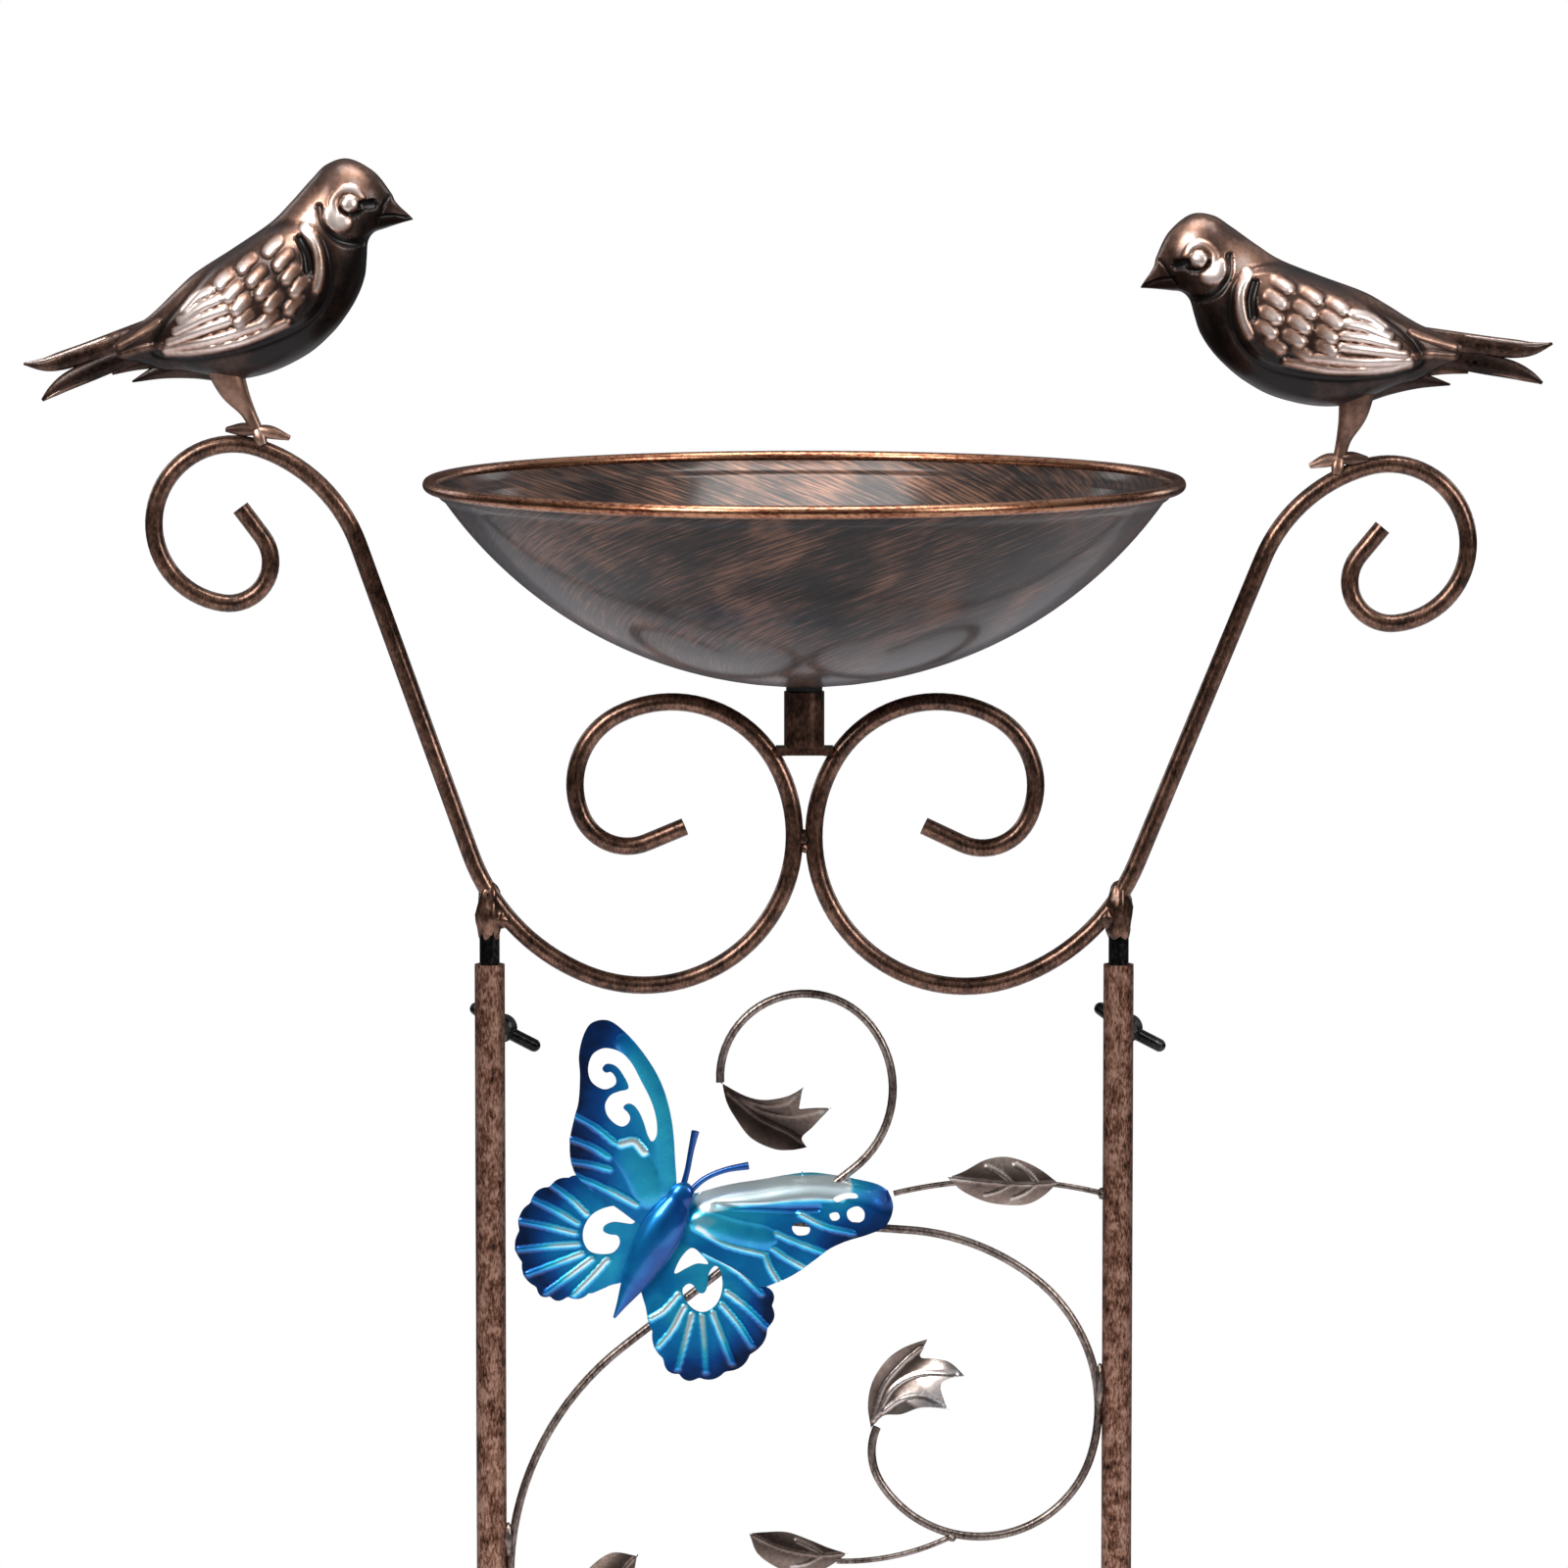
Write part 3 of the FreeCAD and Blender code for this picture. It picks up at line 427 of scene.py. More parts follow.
def linear(colour: str) -> tuple[float, float, float, float]:
    """An sRGB hex colour, such as #8a5636, as the linear numbers that Blender takes."""
    parts = [int(colour[k : k + 2], 16) / 255 for k in (1, 3, 5)]
    made = [c / 12.92 if c <= 0.04045 else ((c + 0.055) / 1.055) ** 2.4 for c in parts]
    return (made[0], made[1], made[2], 1.0)


def per_mm(size: float) -> float:
    """The scale that makes a pattern's cell this many millimetres across."""
    return 1.0 / (size * MM)


def add_node(
    tree: bpy.types.NodeTree,
    kind: str,
    inputs: dict[Any, Any] | None = None,
    stops: Stops | None = None,
    **settings: Any,
) -> bpy.types.Node:
    """Adds a node with its settings, its values and its links.

    Args:
        tree: the tree it goes into.
        kind: Blender's name for its type, without the word Shader.
        inputs: what each input socket holds: a value, a hex colour or another node's output.
        stops: places and hex colours of a colour ramp.
        settings: the node's own options.

    Returns:
        The new node.
    """
    node = tree.nodes.new("Shader" + kind)
    for option, choice in settings.items():
        setattr(node, option, choice)
    for place, value in (inputs or {}).items():
        socket = node.inputs[place.value if isinstance(place, Enum) else place]
        if isinstance(value, bpy.types.NodeSocket):
            tree.links.new(value, socket)
        else:
            socket.default_value = linear(value) if isinstance(value, str) else value
    if stops:
        ramp = node.color_ramp.elements
        while len(ramp) < len(stops):
            ramp.new(0.5)
        for element, (place, colour) in zip(ramp, stops):
            element.position = place
            element.color = linear(colour)
    return node


@dataclass(frozen=True)
class Finish:
    """What every finish shares: its name, and the shader's plain numbers."""

    title: str
    metallic: float = 1.0
    roughness: tuple[float, float] = (0.3, 0.3)
    coat: float = 0.0
    coat_roughness: float = 0.2

    def material(self) -> bpy.types.Material:
        """The finish as a material, made once.

        Returns:
            The material, which has this finish's title as its name.
        """
        found = bpy.data.materials.get(self.title)
        if found:
            return found
        made = bpy.data.materials.new(self.title)
        made.use_nodes = True
        tree = made.node_tree
        tree.nodes.clear()
        shader = add_node(
            tree,
            "NodeBsdfPrincipled",
            {
                "Metallic": self.metallic,
                "Coat Weight": self.coat,
                "Coat Roughness": self.coat_roughness,
            },
        )
        add_node(tree, "NodeOutputMaterial", {"Surface": shader.outputs["BSDF"]})
        self.dress(tree, shader)
        return made

    def dress(self, tree: bpy.types.NodeTree, shader: bpy.types.Node) -> None:
        """Adds the colour, roughness and bump of this finish to the shader.

        Args:
            tree: the material's tree.
            shader: its shader.
        """
        raise NotImplementedError

    def finish_off(
        self,
        tree: bpy.types.NodeTree,
        shader: bpy.types.Node,
        colour: bpy.types.NodeSocket,
        worn: bpy.types.NodeSocket,
        height: bpy.types.NodeSocket,
        depth: float,
    ) -> None:
        """Links colour, roughness and bump to the shader.

        Args:
            tree: the material's tree.
            shader: its shader.
            colour: the colour's socket.
            worn: nought where the surface has the first roughness, one where the second.
            height: the height that the bump follows.
            depth: how deep the bump is, in millimetres.
        """
        rough = add_node(
            tree,
            "NodeMapRange",
            {"Value": worn, "To Min": self.roughness[0], "To Max": self.roughness[1]},
        )
        bump = add_node(
            tree, "NodeBump", {"Height": height, "Strength": 0.5, "Distance": depth * MM}
        )
        tree.links.new(colour, shader.inputs["Base Color"])
        tree.links.new(rough.outputs["Result"], shader.inputs["Roughness"])
        tree.links.new(bump.outputs["Normal"], shader.inputs["Normal"])


@dataclass(frozen=True)
class DabbedBronze(Finish):
    """Black baked enamel on steel, dabbed or wiped with copper bronze while it was tacky.

    The eye sees a near-black ground in the pits, copper where the dabs caught, and a few
    pale rubbed grains. `grain` is the size of a dab in millimetres along X, Y and Z.
    """

    ground: str = "#1c1512"
    copper: str = "#8d5f46"
    pale: str = "#d9b8a6"
    grain: tuple[float, float, float] = (1.6, 1.6, 1.6)
    patch: float = 14.0
    cover: float = 0.5
    depth: float = 0.12

    def dress(self, tree: bpy.types.NodeTree, shader: bpy.types.Node) -> None:
        """Fine dabs over slow patches, in three tones.

        Args:
            tree: the material's tree.
            shader: its shader.
        """
        place = add_node(tree, "NodeTexCoord").outputs["Object"]
        squeezed = add_node(
            tree,
            "NodeMapping",
            {"Vector": place, "Scale": tuple(self.grain[0] / g for g in self.grain)},
        )
        dabs = add_node(
            tree,
            "NodeTexNoise",
            {
                "Vector": squeezed.outputs["Vector"],
                "Scale": per_mm(self.grain[0]),
                "Detail": 3.0,
                "Roughness": 0.62,
            },
        )
        patches = add_node(
            tree,
            "NodeTexNoise",
            {"Vector": place, "Scale": per_mm(self.patch), "Detail": 2.0, "Roughness": 0.5},
        )
        lean = add_node(
            tree,
            "NodeMath",
            {0: patches.outputs["Fac"], 1: 0.7, 2: self.cover - 0.85},
            operation="MULTIPLY_ADD",
        )
        total = add_node(
            tree, "NodeMath", {0: dabs.outputs["Fac"], 1: lean.outputs[0]}, operation="ADD"
        )
        tone = add_node(
            tree,
            "NodeValToRGB",
            {"Fac": total.outputs[0]},
            [(0.30, self.ground), (0.50, self.copper), (0.72, self.pale)],
        )
        self.finish_off(
            tree, shader, tone.outputs["Color"], total.outputs[0], dabs.outputs["Fac"], self.depth
        )


@dataclass(frozen=True)
class BrushedBowlBronze(Finish):
    """Black enamel on spun steel, dry-brushed with copper bronze under a clear gloss lacquer.

    The eye sees fine slanting bristle lines a few centimetres long, denser in some smudges,
    on a near-black ground, and a clear gloss over all that goes pale at a shallow angle.
    """

    ground: str = "#0d0a09"
    shade: str = "#33241d"
    copper: str = "#74513f"
    line: tuple[float, float] = (9.0, 0.4)
    slant: float = -24.0
    mean_radius: float = 110.0
    join: float = 20.0
    smudge: float = 34.0
    depth: float = 0.05

    def dress(self, tree: bpy.types.NodeTree, shader: bpy.types.Node) -> None:
        """Bristle lines wound round the bowl, joined where front and back meet.

        Args:
            tree: the material's tree.
            shader: its shader.
        """
        place = add_node(tree, "NodeTexCoord").outputs["Object"]
        split = add_node(tree, "NodeSeparateXYZ", {"Vector": place})
        x, y, z = (split.outputs[k] for k in range(3))
        halves = []
        for way in (-1.0, 1.0):
            ahead = add_node(tree, "NodeMath", {0: y, 1: way}, operation="MULTIPLY")
            beside = add_node(tree, "NodeMath", {0: x, 1: -way}, operation="MULTIPLY")
            angle = add_node(
                tree,
                "NodeMath",
                {0: beside.outputs[0], 1: ahead.outputs[0]},
                operation="ARCTAN2",
            )
            arc = add_node(
                tree,
                "NodeMath",
                {0: angle.outputs[0], 1: self.mean_radius * MM},
                operation="MULTIPLY",
            )
            rolled = add_node(
                tree, "NodeCombineXYZ", {"X": arc.outputs[0], "Y": z, "Z": 0.1 * way}
            )
            slanted = add_node(
                tree,
                "NodeMapping",
                {
                    "Vector": rolled.outputs[0],
                    "Rotation": (0.0, 0.0, math.radians(self.slant)),
                },
            )
            drawn = add_node(
                tree,
                "NodeMapping",
                {
                    "Vector": slanted.outputs[0],
                    "Scale": (self.line[1] / self.line[0], 1.0, 1.0),
                },
            )
            bristle = add_node(
                tree,
                "NodeTexNoise",
                {
                    "Vector": drawn.outputs[0],
                    "Scale": per_mm(self.line[1] * 2),
                    "Detail": 4.0,
                    "Roughness": 0.68,
                },
            )
            halves.append(bristle.outputs["Fac"])
        seam = add_node(
            tree, "NodeMapRange", {"Value": y, "From Min": -self.join * MM, "From Max": self.join * MM}
        )
        lines = add_node(
            tree,
            "NodeMapRange",
            {"Value": seam.outputs["Result"], "To Min": halves[0], "To Max": halves[1]},
        )
        smudge = add_node(
            tree,
            "NodeTexNoise",
            {"Vector": place, "Scale": per_mm(self.smudge), "Detail": 3.0, "Distortion": 0.6},
        )
        lean = add_node(
            tree,
            "NodeMath",
            {0: smudge.outputs["Fac"], 1: 0.55, 2: -0.3},
            operation="MULTIPLY_ADD",
        )
        total = add_node(
            tree, "NodeMath", {0: lines.outputs[0], 1: lean.outputs[0]}, operation="ADD"
        )
        tone = add_node(
            tree,
            "NodeValToRGB",
            {"Fac": total.outputs[0]},
            [(0.36, self.ground), (0.48, self.shade), (0.66, self.copper)],
        )
        self.finish_off(
            tree, shader, tone.outputs["Color"], total.outputs[0], lines.outputs[0], self.depth
        )


@dataclass(frozen=True)
class RubbedStamping(Finish):
    """Stamped steel sheet, dipped in dark brown enamel and rubbed back with copper bronze.

    The mark on each corner is one on a ridge, which is rubbed pale, and nought in a groove, where the dark
    stays; on the birds it also carries painted light: a lighter back, painted highlights on the head, nape
    and wing, and painted shade under the belly. Fine grains break the edge between the two.
    """

    dark: str = "#130d0a"
    brown: str = "#4a342b"
    copper: str = "#9c7764"
    # the palest tone: reached on rubbed ridges, and on the birds by the painted highlights
    pale: str = "#f4e2d9"
    grain: float = 2.2
    cloud: float = 16.0
    depth: float = 0.1

    def dress(self, tree: bpy.types.NodeTree, shader: bpy.types.Node) -> None:
        """The mark with some grain added, through four tones.

        Args:
            tree: the material's tree.
            shader: its shader.
        """
        place = add_node(tree, "NodeTexCoord").outputs["Object"]
        mark = add_node(tree, "NodeAttribute", attribute_name="rub").outputs["Fac"]
        grain = add_node(
            tree,
            "NodeTexNoise",
            {"Vector": place, "Scale": per_mm(self.grain), "Detail": 4.0, "Roughness": 0.6},
        )
        cloud = add_node(
            tree,
            "NodeTexNoise",
            {"Vector": place, "Scale": per_mm(self.cloud), "Detail": 2.0, "Distortion": 0.4},
        )
        first = add_node(
            tree,
            "NodeMath",
            {0: grain.outputs["Fac"], 1: 0.28, 2: -0.14},
            operation="MULTIPLY_ADD",
        )
        second = add_node(
            tree,
            "NodeMath",
            {0: cloud.outputs["Fac"], 1: 0.5, 2: -0.25},
            operation="MULTIPLY_ADD",
        )
        third = add_node(
            tree, "NodeMath", {0: first.outputs[0], 1: second.outputs[0]}, operation="ADD"
        )
        total = add_node(tree, "NodeMath", {0: mark, 1: third.outputs[0]}, operation="ADD")
        tone = add_node(
            tree,
            "NodeValToRGB",
            {"Fac": total.outputs[0]},
            [(0.08, self.dark), (0.36, self.brown), (0.62, self.copper), (0.95, self.pale)],
        )
        self.finish_off(
            tree, shader, tone.outputs["Color"], total.outputs[0], grain.outputs["Fac"], self.depth
        )


@dataclass(frozen=True)
class CandyLacquer(Finish):
    """Tinted clear lacquer over bright stamped steel, sprayed darker towards the edges.

    The mark runs from nought, the deep navy of the tips, to one, a near-white painted highlight on the ribs
    and along the right forewing's front edge.
    The eye sees a metal glow through blue glass, with a sharp gloss on top.
    """

    navy: str = "#04204a"
    deep: str = "#0752a4"
    blue: str = "#0c8ed6"
    cyan: str = "#35d2f4"
    painted_highlight: str = "#e6fbff"
    cloud: float = 13.0
    streak: float = 0.9
    depth: float = 0.03

    def dress(self, tree: bpy.types.NodeTree, shader: bpy.types.Node) -> None:
        """The spray's depth and the painted rib highlights, with a slow cloud added, through five tones.

        Args:
            tree: the material's tree.
            shader: its shader.
        """
        place = add_node(tree, "NodeTexCoord").outputs["Object"]
        mark = add_node(tree, "NodeAttribute", attribute_name="rub").outputs["Fac"]
        cloud = add_node(
            tree,
            "NodeTexNoise",
            {"Vector": place, "Scale": per_mm(self.cloud), "Detail": 2.5, "Distortion": 0.5},
        )
        streak = add_node(
            tree,
            "NodeTexNoise",
            {"Vector": place, "Scale": per_mm(self.streak), "Detail": 2.0, "Roughness": 0.5},
        )
        lean = add_node(
            tree,
            "NodeMath",
            {0: cloud.outputs["Fac"], 1: 0.34, 2: -0.17},
            operation="MULTIPLY_ADD",
        )
        total = add_node(tree, "NodeMath", {0: mark, 1: lean.outputs[0]}, operation="ADD")
        tone = add_node(
            tree,
            "NodeValToRGB",
            {"Fac": total.outputs[0]},
            [
                (0.05, self.navy),
                (0.28, self.deep),
                (0.50, self.blue),
                (0.72, self.cyan),
                (0.92, self.painted_highlight),
            ],
        )
        self.finish_off(
            tree, shader, tone.outputs["Color"], total.outputs[0], streak.outputs["Fac"], self.depth
        )


ARM_BRONZE = DabbedBronze(
    "Black enamelled steel rod, wiped with copper bronze",
    metallic=0.85,
    ground="#31231c",
    copper="#644637",
    pale="#8f6b59",
    roughness=(0.32, 0.26),
    coat=0.3,
    coat_roughness=0.2,
    grain=(1.1, 1.1, 2.4),
    patch=7.0,
    cover=0.50,
    depth=0.03,
)
POST_BRONZE = DabbedBronze(
    "Black enamelled steel tube, sponged with copper bronze",
    metallic=0.85,
    ground="#1c1310",
    copper="#8a5d48",
    pale="#dcae97",
    roughness=(0.4, 0.3),
    coat=0.2,
    grain=(0.8, 0.8, 2.2),
    patch=6.0,
    cover=0.55,
    depth=0.1,
)
VINE_BRONZE = DabbedBronze(
    "Drawn steel wire, grey-brown enamel wiped thin",
    ground="#3c332f",
    copper="#786a63",
    pale="#a5978f",
    roughness=(0.4, 0.3),
    coat=0.2,
    grain=(1.4, 1.4, 2.6),
    cover=0.54,
    depth=0.03,
)
BLACK_STEEL = DabbedBronze(
    "Turned steel, blackened and oiled",
    ground="#0a0a0b",
    copper="#1d1c1d",
    pale="#4c4a49",
    roughness=(0.45, 0.3),
    coat=0.3,
    grain=(1.2, 1.2, 2.0),
    cover=0.45,
    depth=0.06,
)
RUBBER = DabbedBronze(
    "Black rubber, moulded matt",
    metallic=0.0,
    ground="#0b0b0c",
    copper="#151516",
    pale="#242425",
    roughness=(0.75, 0.6),
    grain=(0.8, 0.8, 0.8),
)
BOWL_BRONZE = BrushedBowlBronze(
    "Spun steel, black enamel dry-brushed with copper under clear lacquer",
    metallic=0.8,
    roughness=(0.46, 0.36),
    coat=0.5,
    coat_roughness=0.15,
)
BEAD_BRONZE = DabbedBronze(
    "Rolled steel bead, copper bronze rubbed bright",
    ground="#2a1710",
    copper="#7c452c",
    pale="#b98463",
    roughness=(0.36, 0.24),
    coat=0.4,
    grain=(2.6, 2.6, 1.0),
    patch=30.0,
    cover=0.62,
)
BIRD_BRONZE = RubbedStamping(
    "Stamped steel shell, brown enamel rubbed with copper bronze",
    metallic=0.8,
    roughness=(0.45, 0.3),
    coat=0.3,
    coat_roughness=0.2,
)
LEAF_BRONZE = RubbedStamping(
    "Stamped steel leaf, grey-brown enamel rubbed pale on its ribs",
    dark="#1b1614",
    brown="#51433c",
    copper="#8c7a70",
    pale="#e6dcd6",
    roughness=(0.42, 0.26),
    coat=0.35,
    grain=1.6,
)
BUTTERFLY_BLUE = CandyLacquer(
    "Stamped steel, blue candy lacquer over bright metal",
    metallic=0.72,
    roughness=(0.34, 0.24),
    coat=0.7,
    coat_roughness=0.08,
)


# ------------------------------------------------------------------ the bowl


@dataclass
class Bowl:
    """The spun dish, with its flared lip, and the bead that is rolled at its rim."""

    sphere: float = 174.0
    depth: float = 82.0
    flat: float = 16.0
    sheet: float = 1.0
    lip: float = 9.0
    flare: float = 6.0
    bead: float = 2.6
    around: int = 240

    def profile(self, foot: float) -> Rows:
        """The outline of the sheet, from the middle of its underside to the middle inside.

        Args:
            foot: the height of the underside, in millimetres.

        Returns:
            Radius and height, one row a corner.
        """
        centre = math.sqrt(self.sphere**2 - self.flat**2)
        shoulder = self.depth - self.lip
        inner = self.sphere - self.sheet
        rows_up, tiny, bead_gap = 60, 0.02, 0.4
        low = np.linspace(0.0, shoulder, rows_up)
        high = np.linspace(shoulder, self.sheet, rows_up)
        out = np.sqrt(self.sphere**2 - (low - centre) ** 2)
        back = np.sqrt(inner**2 - (high - centre) ** 2)
        edge = smooth_line([(0.0, 0.0), (0.45, 0.3), (1.0, 1.0)], 9)
        reach = edge[:, 0] * (self.flare - bead_gap)
        climb = edge[:, 1] * (self.lip - self.bead)
        lip_out = np.stack([out[-1] + reach, shoulder + climb], 1)
        lip_in = np.stack([out[-1] - self.sheet + reach, shoulder + climb], 1)[::-1]
        under = np.vstack([[[tiny, 0.0]], np.stack([out, low], 1), lip_out[1:]])
        over = np.vstack([lip_in[:-1], np.stack([back, high], 1), [[tiny, self.sheet]]])
        rows = np.vstack([under, over])
        rows[:, 1] += foot
        return rows

    def spun(self, rows: Rows) -> Rows:
        """A profile turned about the upright axis.

        Args:
            rows: radius and height, one row a corner.

        Returns:
            An array of row, corner and coordinate.
        """
        turn = np.linspace(0, 2 * math.pi, self.around, endpoint=False)
        return np.stack(
            [
                rows[:, 0, None] * np.cos(turn),
                rows[:, 0, None] * np.sin(turn),
                np.repeat(rows[:, 1, None], self.around, 1),
            ],
            -1,
        )

    def build(self) -> None:
        """Makes the dish and its bead."""
        low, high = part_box("basin")
        foot, rim = low.z / MM, high.z / MM
        reach = high.x / MM
        mould = Mould()
        mould.rings(self.spun(self.profile(foot)))
        dish = Piece("bowl_dish", "bowl", "basin_paint", BOWL_BRONZE, ("basin",), 60.0)
        dish.make(mould.all_points(), mould.faces)
        self.build_bead(reach - self.bead, rim - self.bead)

    def build_bead(self, radius: float, height: float) -> None:
        """Rolls the bead: a tube whose curled edge tucks in below the lip.

        Args:
            radius: from the bowl's axis to the middle of the tube.
            height: the height of that middle.
        """
        roll = np.linspace(0, 2 * math.pi, 22, endpoint=False)
        turn = np.linspace(0, 2 * math.pi, self.around, endpoint=False)
        swell = self.bead * (1 - 0.05 * np.clip(np.cos(roll - 3.9), 0, 1) ** 8)
        across = radius + swell * np.cos(roll)
        rise = height + swell * np.sin(roll)
        points = np.stack(
            [
                across[None, :] * np.cos(turn)[:, None],
                across[None, :] * np.sin(turn)[:, None],
                np.repeat(rise[None, :], self.around, 0),
            ],
            -1,
        ).reshape(-1, 3)
        many = len(roll)
        faces = [
            (
                i * many + j,
                (i + 1) % self.around * many + j,
                (i + 1) % self.around * many + (j + 1) % many,
                i * many + (j + 1) % many,
            )
            for i in range(self.around)
            for j in range(many)
        ]
        bead = Piece("bowl_rim_bead", "bowl", "basin_paint", BEAD_BRONZE)
        bead.make(points, faces)


# ------------------------------------------------------------------ the birds


@dataclass
class Bird:
    """A stamped bird: two half shells, each with a wing in relief, and its legs.

    It is drawn from its beak, along X to its tail, with Z up, and then turned and seated.
    """

    side: Side
    pitch: float
    beak: tuple[float, float]
    rod_slope: float
    foot: tuple[float, float] = (87.5, -58.8)

    # one row a station: back line x and z, belly line x and z, half width
    STATIONS: ClassVar[Sequence[tuple[float, ...]]] = (
        (0.3, 0.5, 0.4, -0.1, 0.3),
        (1.6, 3.2, 4.0, 0.2, 2.0),
        (3.2, 6.2, 8.2, 0.4, 3.9),
        (4.4, 9.4, 12.4, 0.5, 5.8),
        (4.9, 13.3, 16.6, 0.4, 7.8),
        (8.3, 23.1, 20.2, -2.4, 10.8),
        (15.9, 31.2, 22.9, -8.4, 12.8),
        (24.6, 32.0, 25.9, -14.5, 14.3),
        (32.3, 28.6, 30.9, -20.5, 16.2),
        (42.9, 23.0, 37.5, -26.0, 17.8),
        (53.3, 18.2, 46.1, -31.2, 18.9),
        (69.8, 14.0, 58.0, -35.6, 19.4),
        (87.5, 10.0, 74.0, -37.2, 18.6),
        (97.7, 6.0, 88.0, -35.0, 15.6),
        (106.0, 2.2, 98.0, -29.6, 11.6),
        (112.5, -0.3, 106.0, -25.0, 8.4),
        (118.5, -1.7, 114.0, -21.6, 6.0),
        (123.5, -2.8, 121.0, -16.0, 4.2),
        (129.0, -4.6, 128.0, -12.6, 2.6),
    )
    WING: ClassVar[Flat] = (
        (36.3, 6.0),
        (37.5, -6.5),
        (44.0, -17.0),
        (54.0, -22.5),
        (68.0, -24.0),
        (84.0, -23.2),
        (100.0, -20.0),
        (110.5, -15.6),
        (112.5, -12.0),
        (106.0, -5.5),
        (95.0, 0.5),
        (80.0, 8.6),
        (66.0, 12.6),
        (54.5, 15.0),
        (43.0, 13.0),
    )
    COVERTS: ClassVar[Flat] = (
        (54.5, 9.3),
        (52.5, 3.0),
        (51.3, -3.2),
        (50.0, -9.2),
        (54.5, -15.0),
        (66.5, 6.6),
        (64.6, 0.6),
        (63.0, -5.2),
        (61.6, -11.0),
        (65.6, -16.6),
        (77.0, 3.9),
        (75.4, -2.0),
        (74.0, -7.8),
        (74.8, -13.4),
    )
    PRIMARIES: ClassVar[Sequence[Flat]] = (
        ((84.0, 1.6), (90.0, 1.0), (96.0, -2.2)),
        ((82.0, -2.6), (90.0, -3.2), (99.0, -5.8)),
        ((81.0, -7.2), (91.0, -7.4), (102.5, -9.0)),
        ((81.0, -11.8), (92.0, -11.8), (106.5, -12.2)),
        ((71.0, -17.6), (88.0, -17.0), (108.5, -14.6)),
        ((60.0, -20.6), (80.0, -21.6), (98.0, -19.0), (109.0, -15.6)),
    )
    HEAD: ClassVar[Sequence[Stroke]] = (
        Stroke(((20.4, 14.6), (20.8, 14.8), (21.2, 14.6)), 3.3, 1.7),
        Stroke(((15.6, 15.2), (17.4, 19.4), (22.0, 20.8), (26.6, 17.8), (27.0, 13.2)), 1.7, 0.7),
        Stroke(((25.4, 8.4), (28.2, 9.6), (29.6, 12.6)), 3.6, 1.1),
        Stroke(((32.6, 17.5), (33.2, 10.0), (30.0, 3.2), (24.0, -0.8), (17.5, -0.6)), 1.7, -1.2),
        Stroke(((12.6, 11.2), (14.4, 11.6), (16.0, 12.4)), 2.2, -1.1),
        Stroke(((16.4, 10.6), (19.4, 9.8), (23.0, 10.8), (24.8, 14.0)), 1.0, -0.9),
        Stroke(((1.0, 0.9), (7.0, 4.4), (13.0, 6.2)), 0.75, -0.7),
        Stroke(((6.2, 12.0), (9.4, 8.6), (14.2, 3.4)), 0.9, -0.6),
    )
    SHOULDER: ClassVar[Sequence[Stroke]] = (
        Stroke(((40.5, 12.0), (38.4, 4.0), (40.2, -5.0), (44.0, -12.0)), 2.2, 1.3),
        Stroke(((43.8, 8.6), (43.2, 2.0), (44.6, -4.4)), 2.0, -1.5),
    )

    # painted light: painted highlights on the nape, crown, cheek, shoulder and wing, and painted shade
    # under the belly and throat: x and z, reach, and how much lighter, darker where negative
    PAINTED_LIGHT_PATCHES: ClassVar[Sequence[tuple[float, float, float, float]]] = (
        (37.0, 14.0, 8.0, 0.55),
        (17.0, 22.0, 5.0, 0.45),
        (27.0, 11.0, 4.0, 0.35),
        (47.0, 10.0, 5.0, 0.20),
        (86.0, -3.0, 14.0, 0.16),
        (62.0, -30.0, 15.0, -0.16),
        (30.0, -12.0, 9.0, -0.12),
    )

    def strokes(self) -> list[Stroke]:
        """Every ridge and groove of the stamping.

        Returns:
            The strokes of the head, the shoulder, the short and long feathers and the tail's root.
        """
        made = list(self.HEAD) + list(self.SHOULDER)
        for x, z in self.COVERTS:
            line = ((x - 2.3, z + 1.3), (x, z + 0.4), (x + 2.5, z - 1.1))
            made.append(Stroke(line, 2.7, 1.5, 0.5))
        for line in self.PRIMARIES:
            made.append(Stroke(line, 2.15, 1.45, 1.0))
        for drop in (0.0, 1.0):
            line = ((108.0, -3.2 - 9.5 * drop), (118.0, -5.4 - 5.5 * drop), (126.0, -7.0 - 4 * drop))
            made.append(Stroke(line, 1.5, 0.6))
        return made

    def half(self, way: int, mould: Mould) -> None:
        """Adds one half of the body, with its relief, flat on the seam.

        Args:
            way: which side of the seam it is on, 1 or -1 along Y.
            mould: what it is added to.
        """
        steps, across = 288, 104
        fullness, wing_rise, edge_depth = 0.86, 1.9, 0.6
        table = smooth_line(self.STATIONS, steps)
        turn = np.linspace(0, math.pi, across)
        share = (1 - np.cos(turn)) / 2
        back, belly, width = table[:, 0:2], table[:, 2:4], np.clip(table[:, 4], 0.15, None)
        plan = back[:, None, :] + (belly - back)[:, None, :] * share[None, :, None]
        bulge = np.sin(turn) ** fullness
        spots = plan.reshape(-1, 2)
        relief = stamped(self.strokes(), spots)
        inside = depth_in(spots, smooth_line(self.WING, 90, closed=True))
        raise_wing = wing_rise * ease((inside + 0.6) / 2.4)
        edge = -edge_depth * np.exp(-(((inside + 1.2) / 1.3) ** 2))
        height = (relief + raise_wing + edge).reshape(steps, across)
        hold = np.clip(np.sin(turn) * 3.2, 0, 1)[None, :] * np.clip(width[:, None] / 4, 0, 1)
        y = width[:, None] * bulge[None, :] + height * hold
        points = np.stack([plan[..., 0], way * y, plan[..., 1]], -1)
        # painted light: lighter along the back, darker towards the belly
        painted_top_light = 0.24 + 0.10 * np.cos(turn)[None, :]
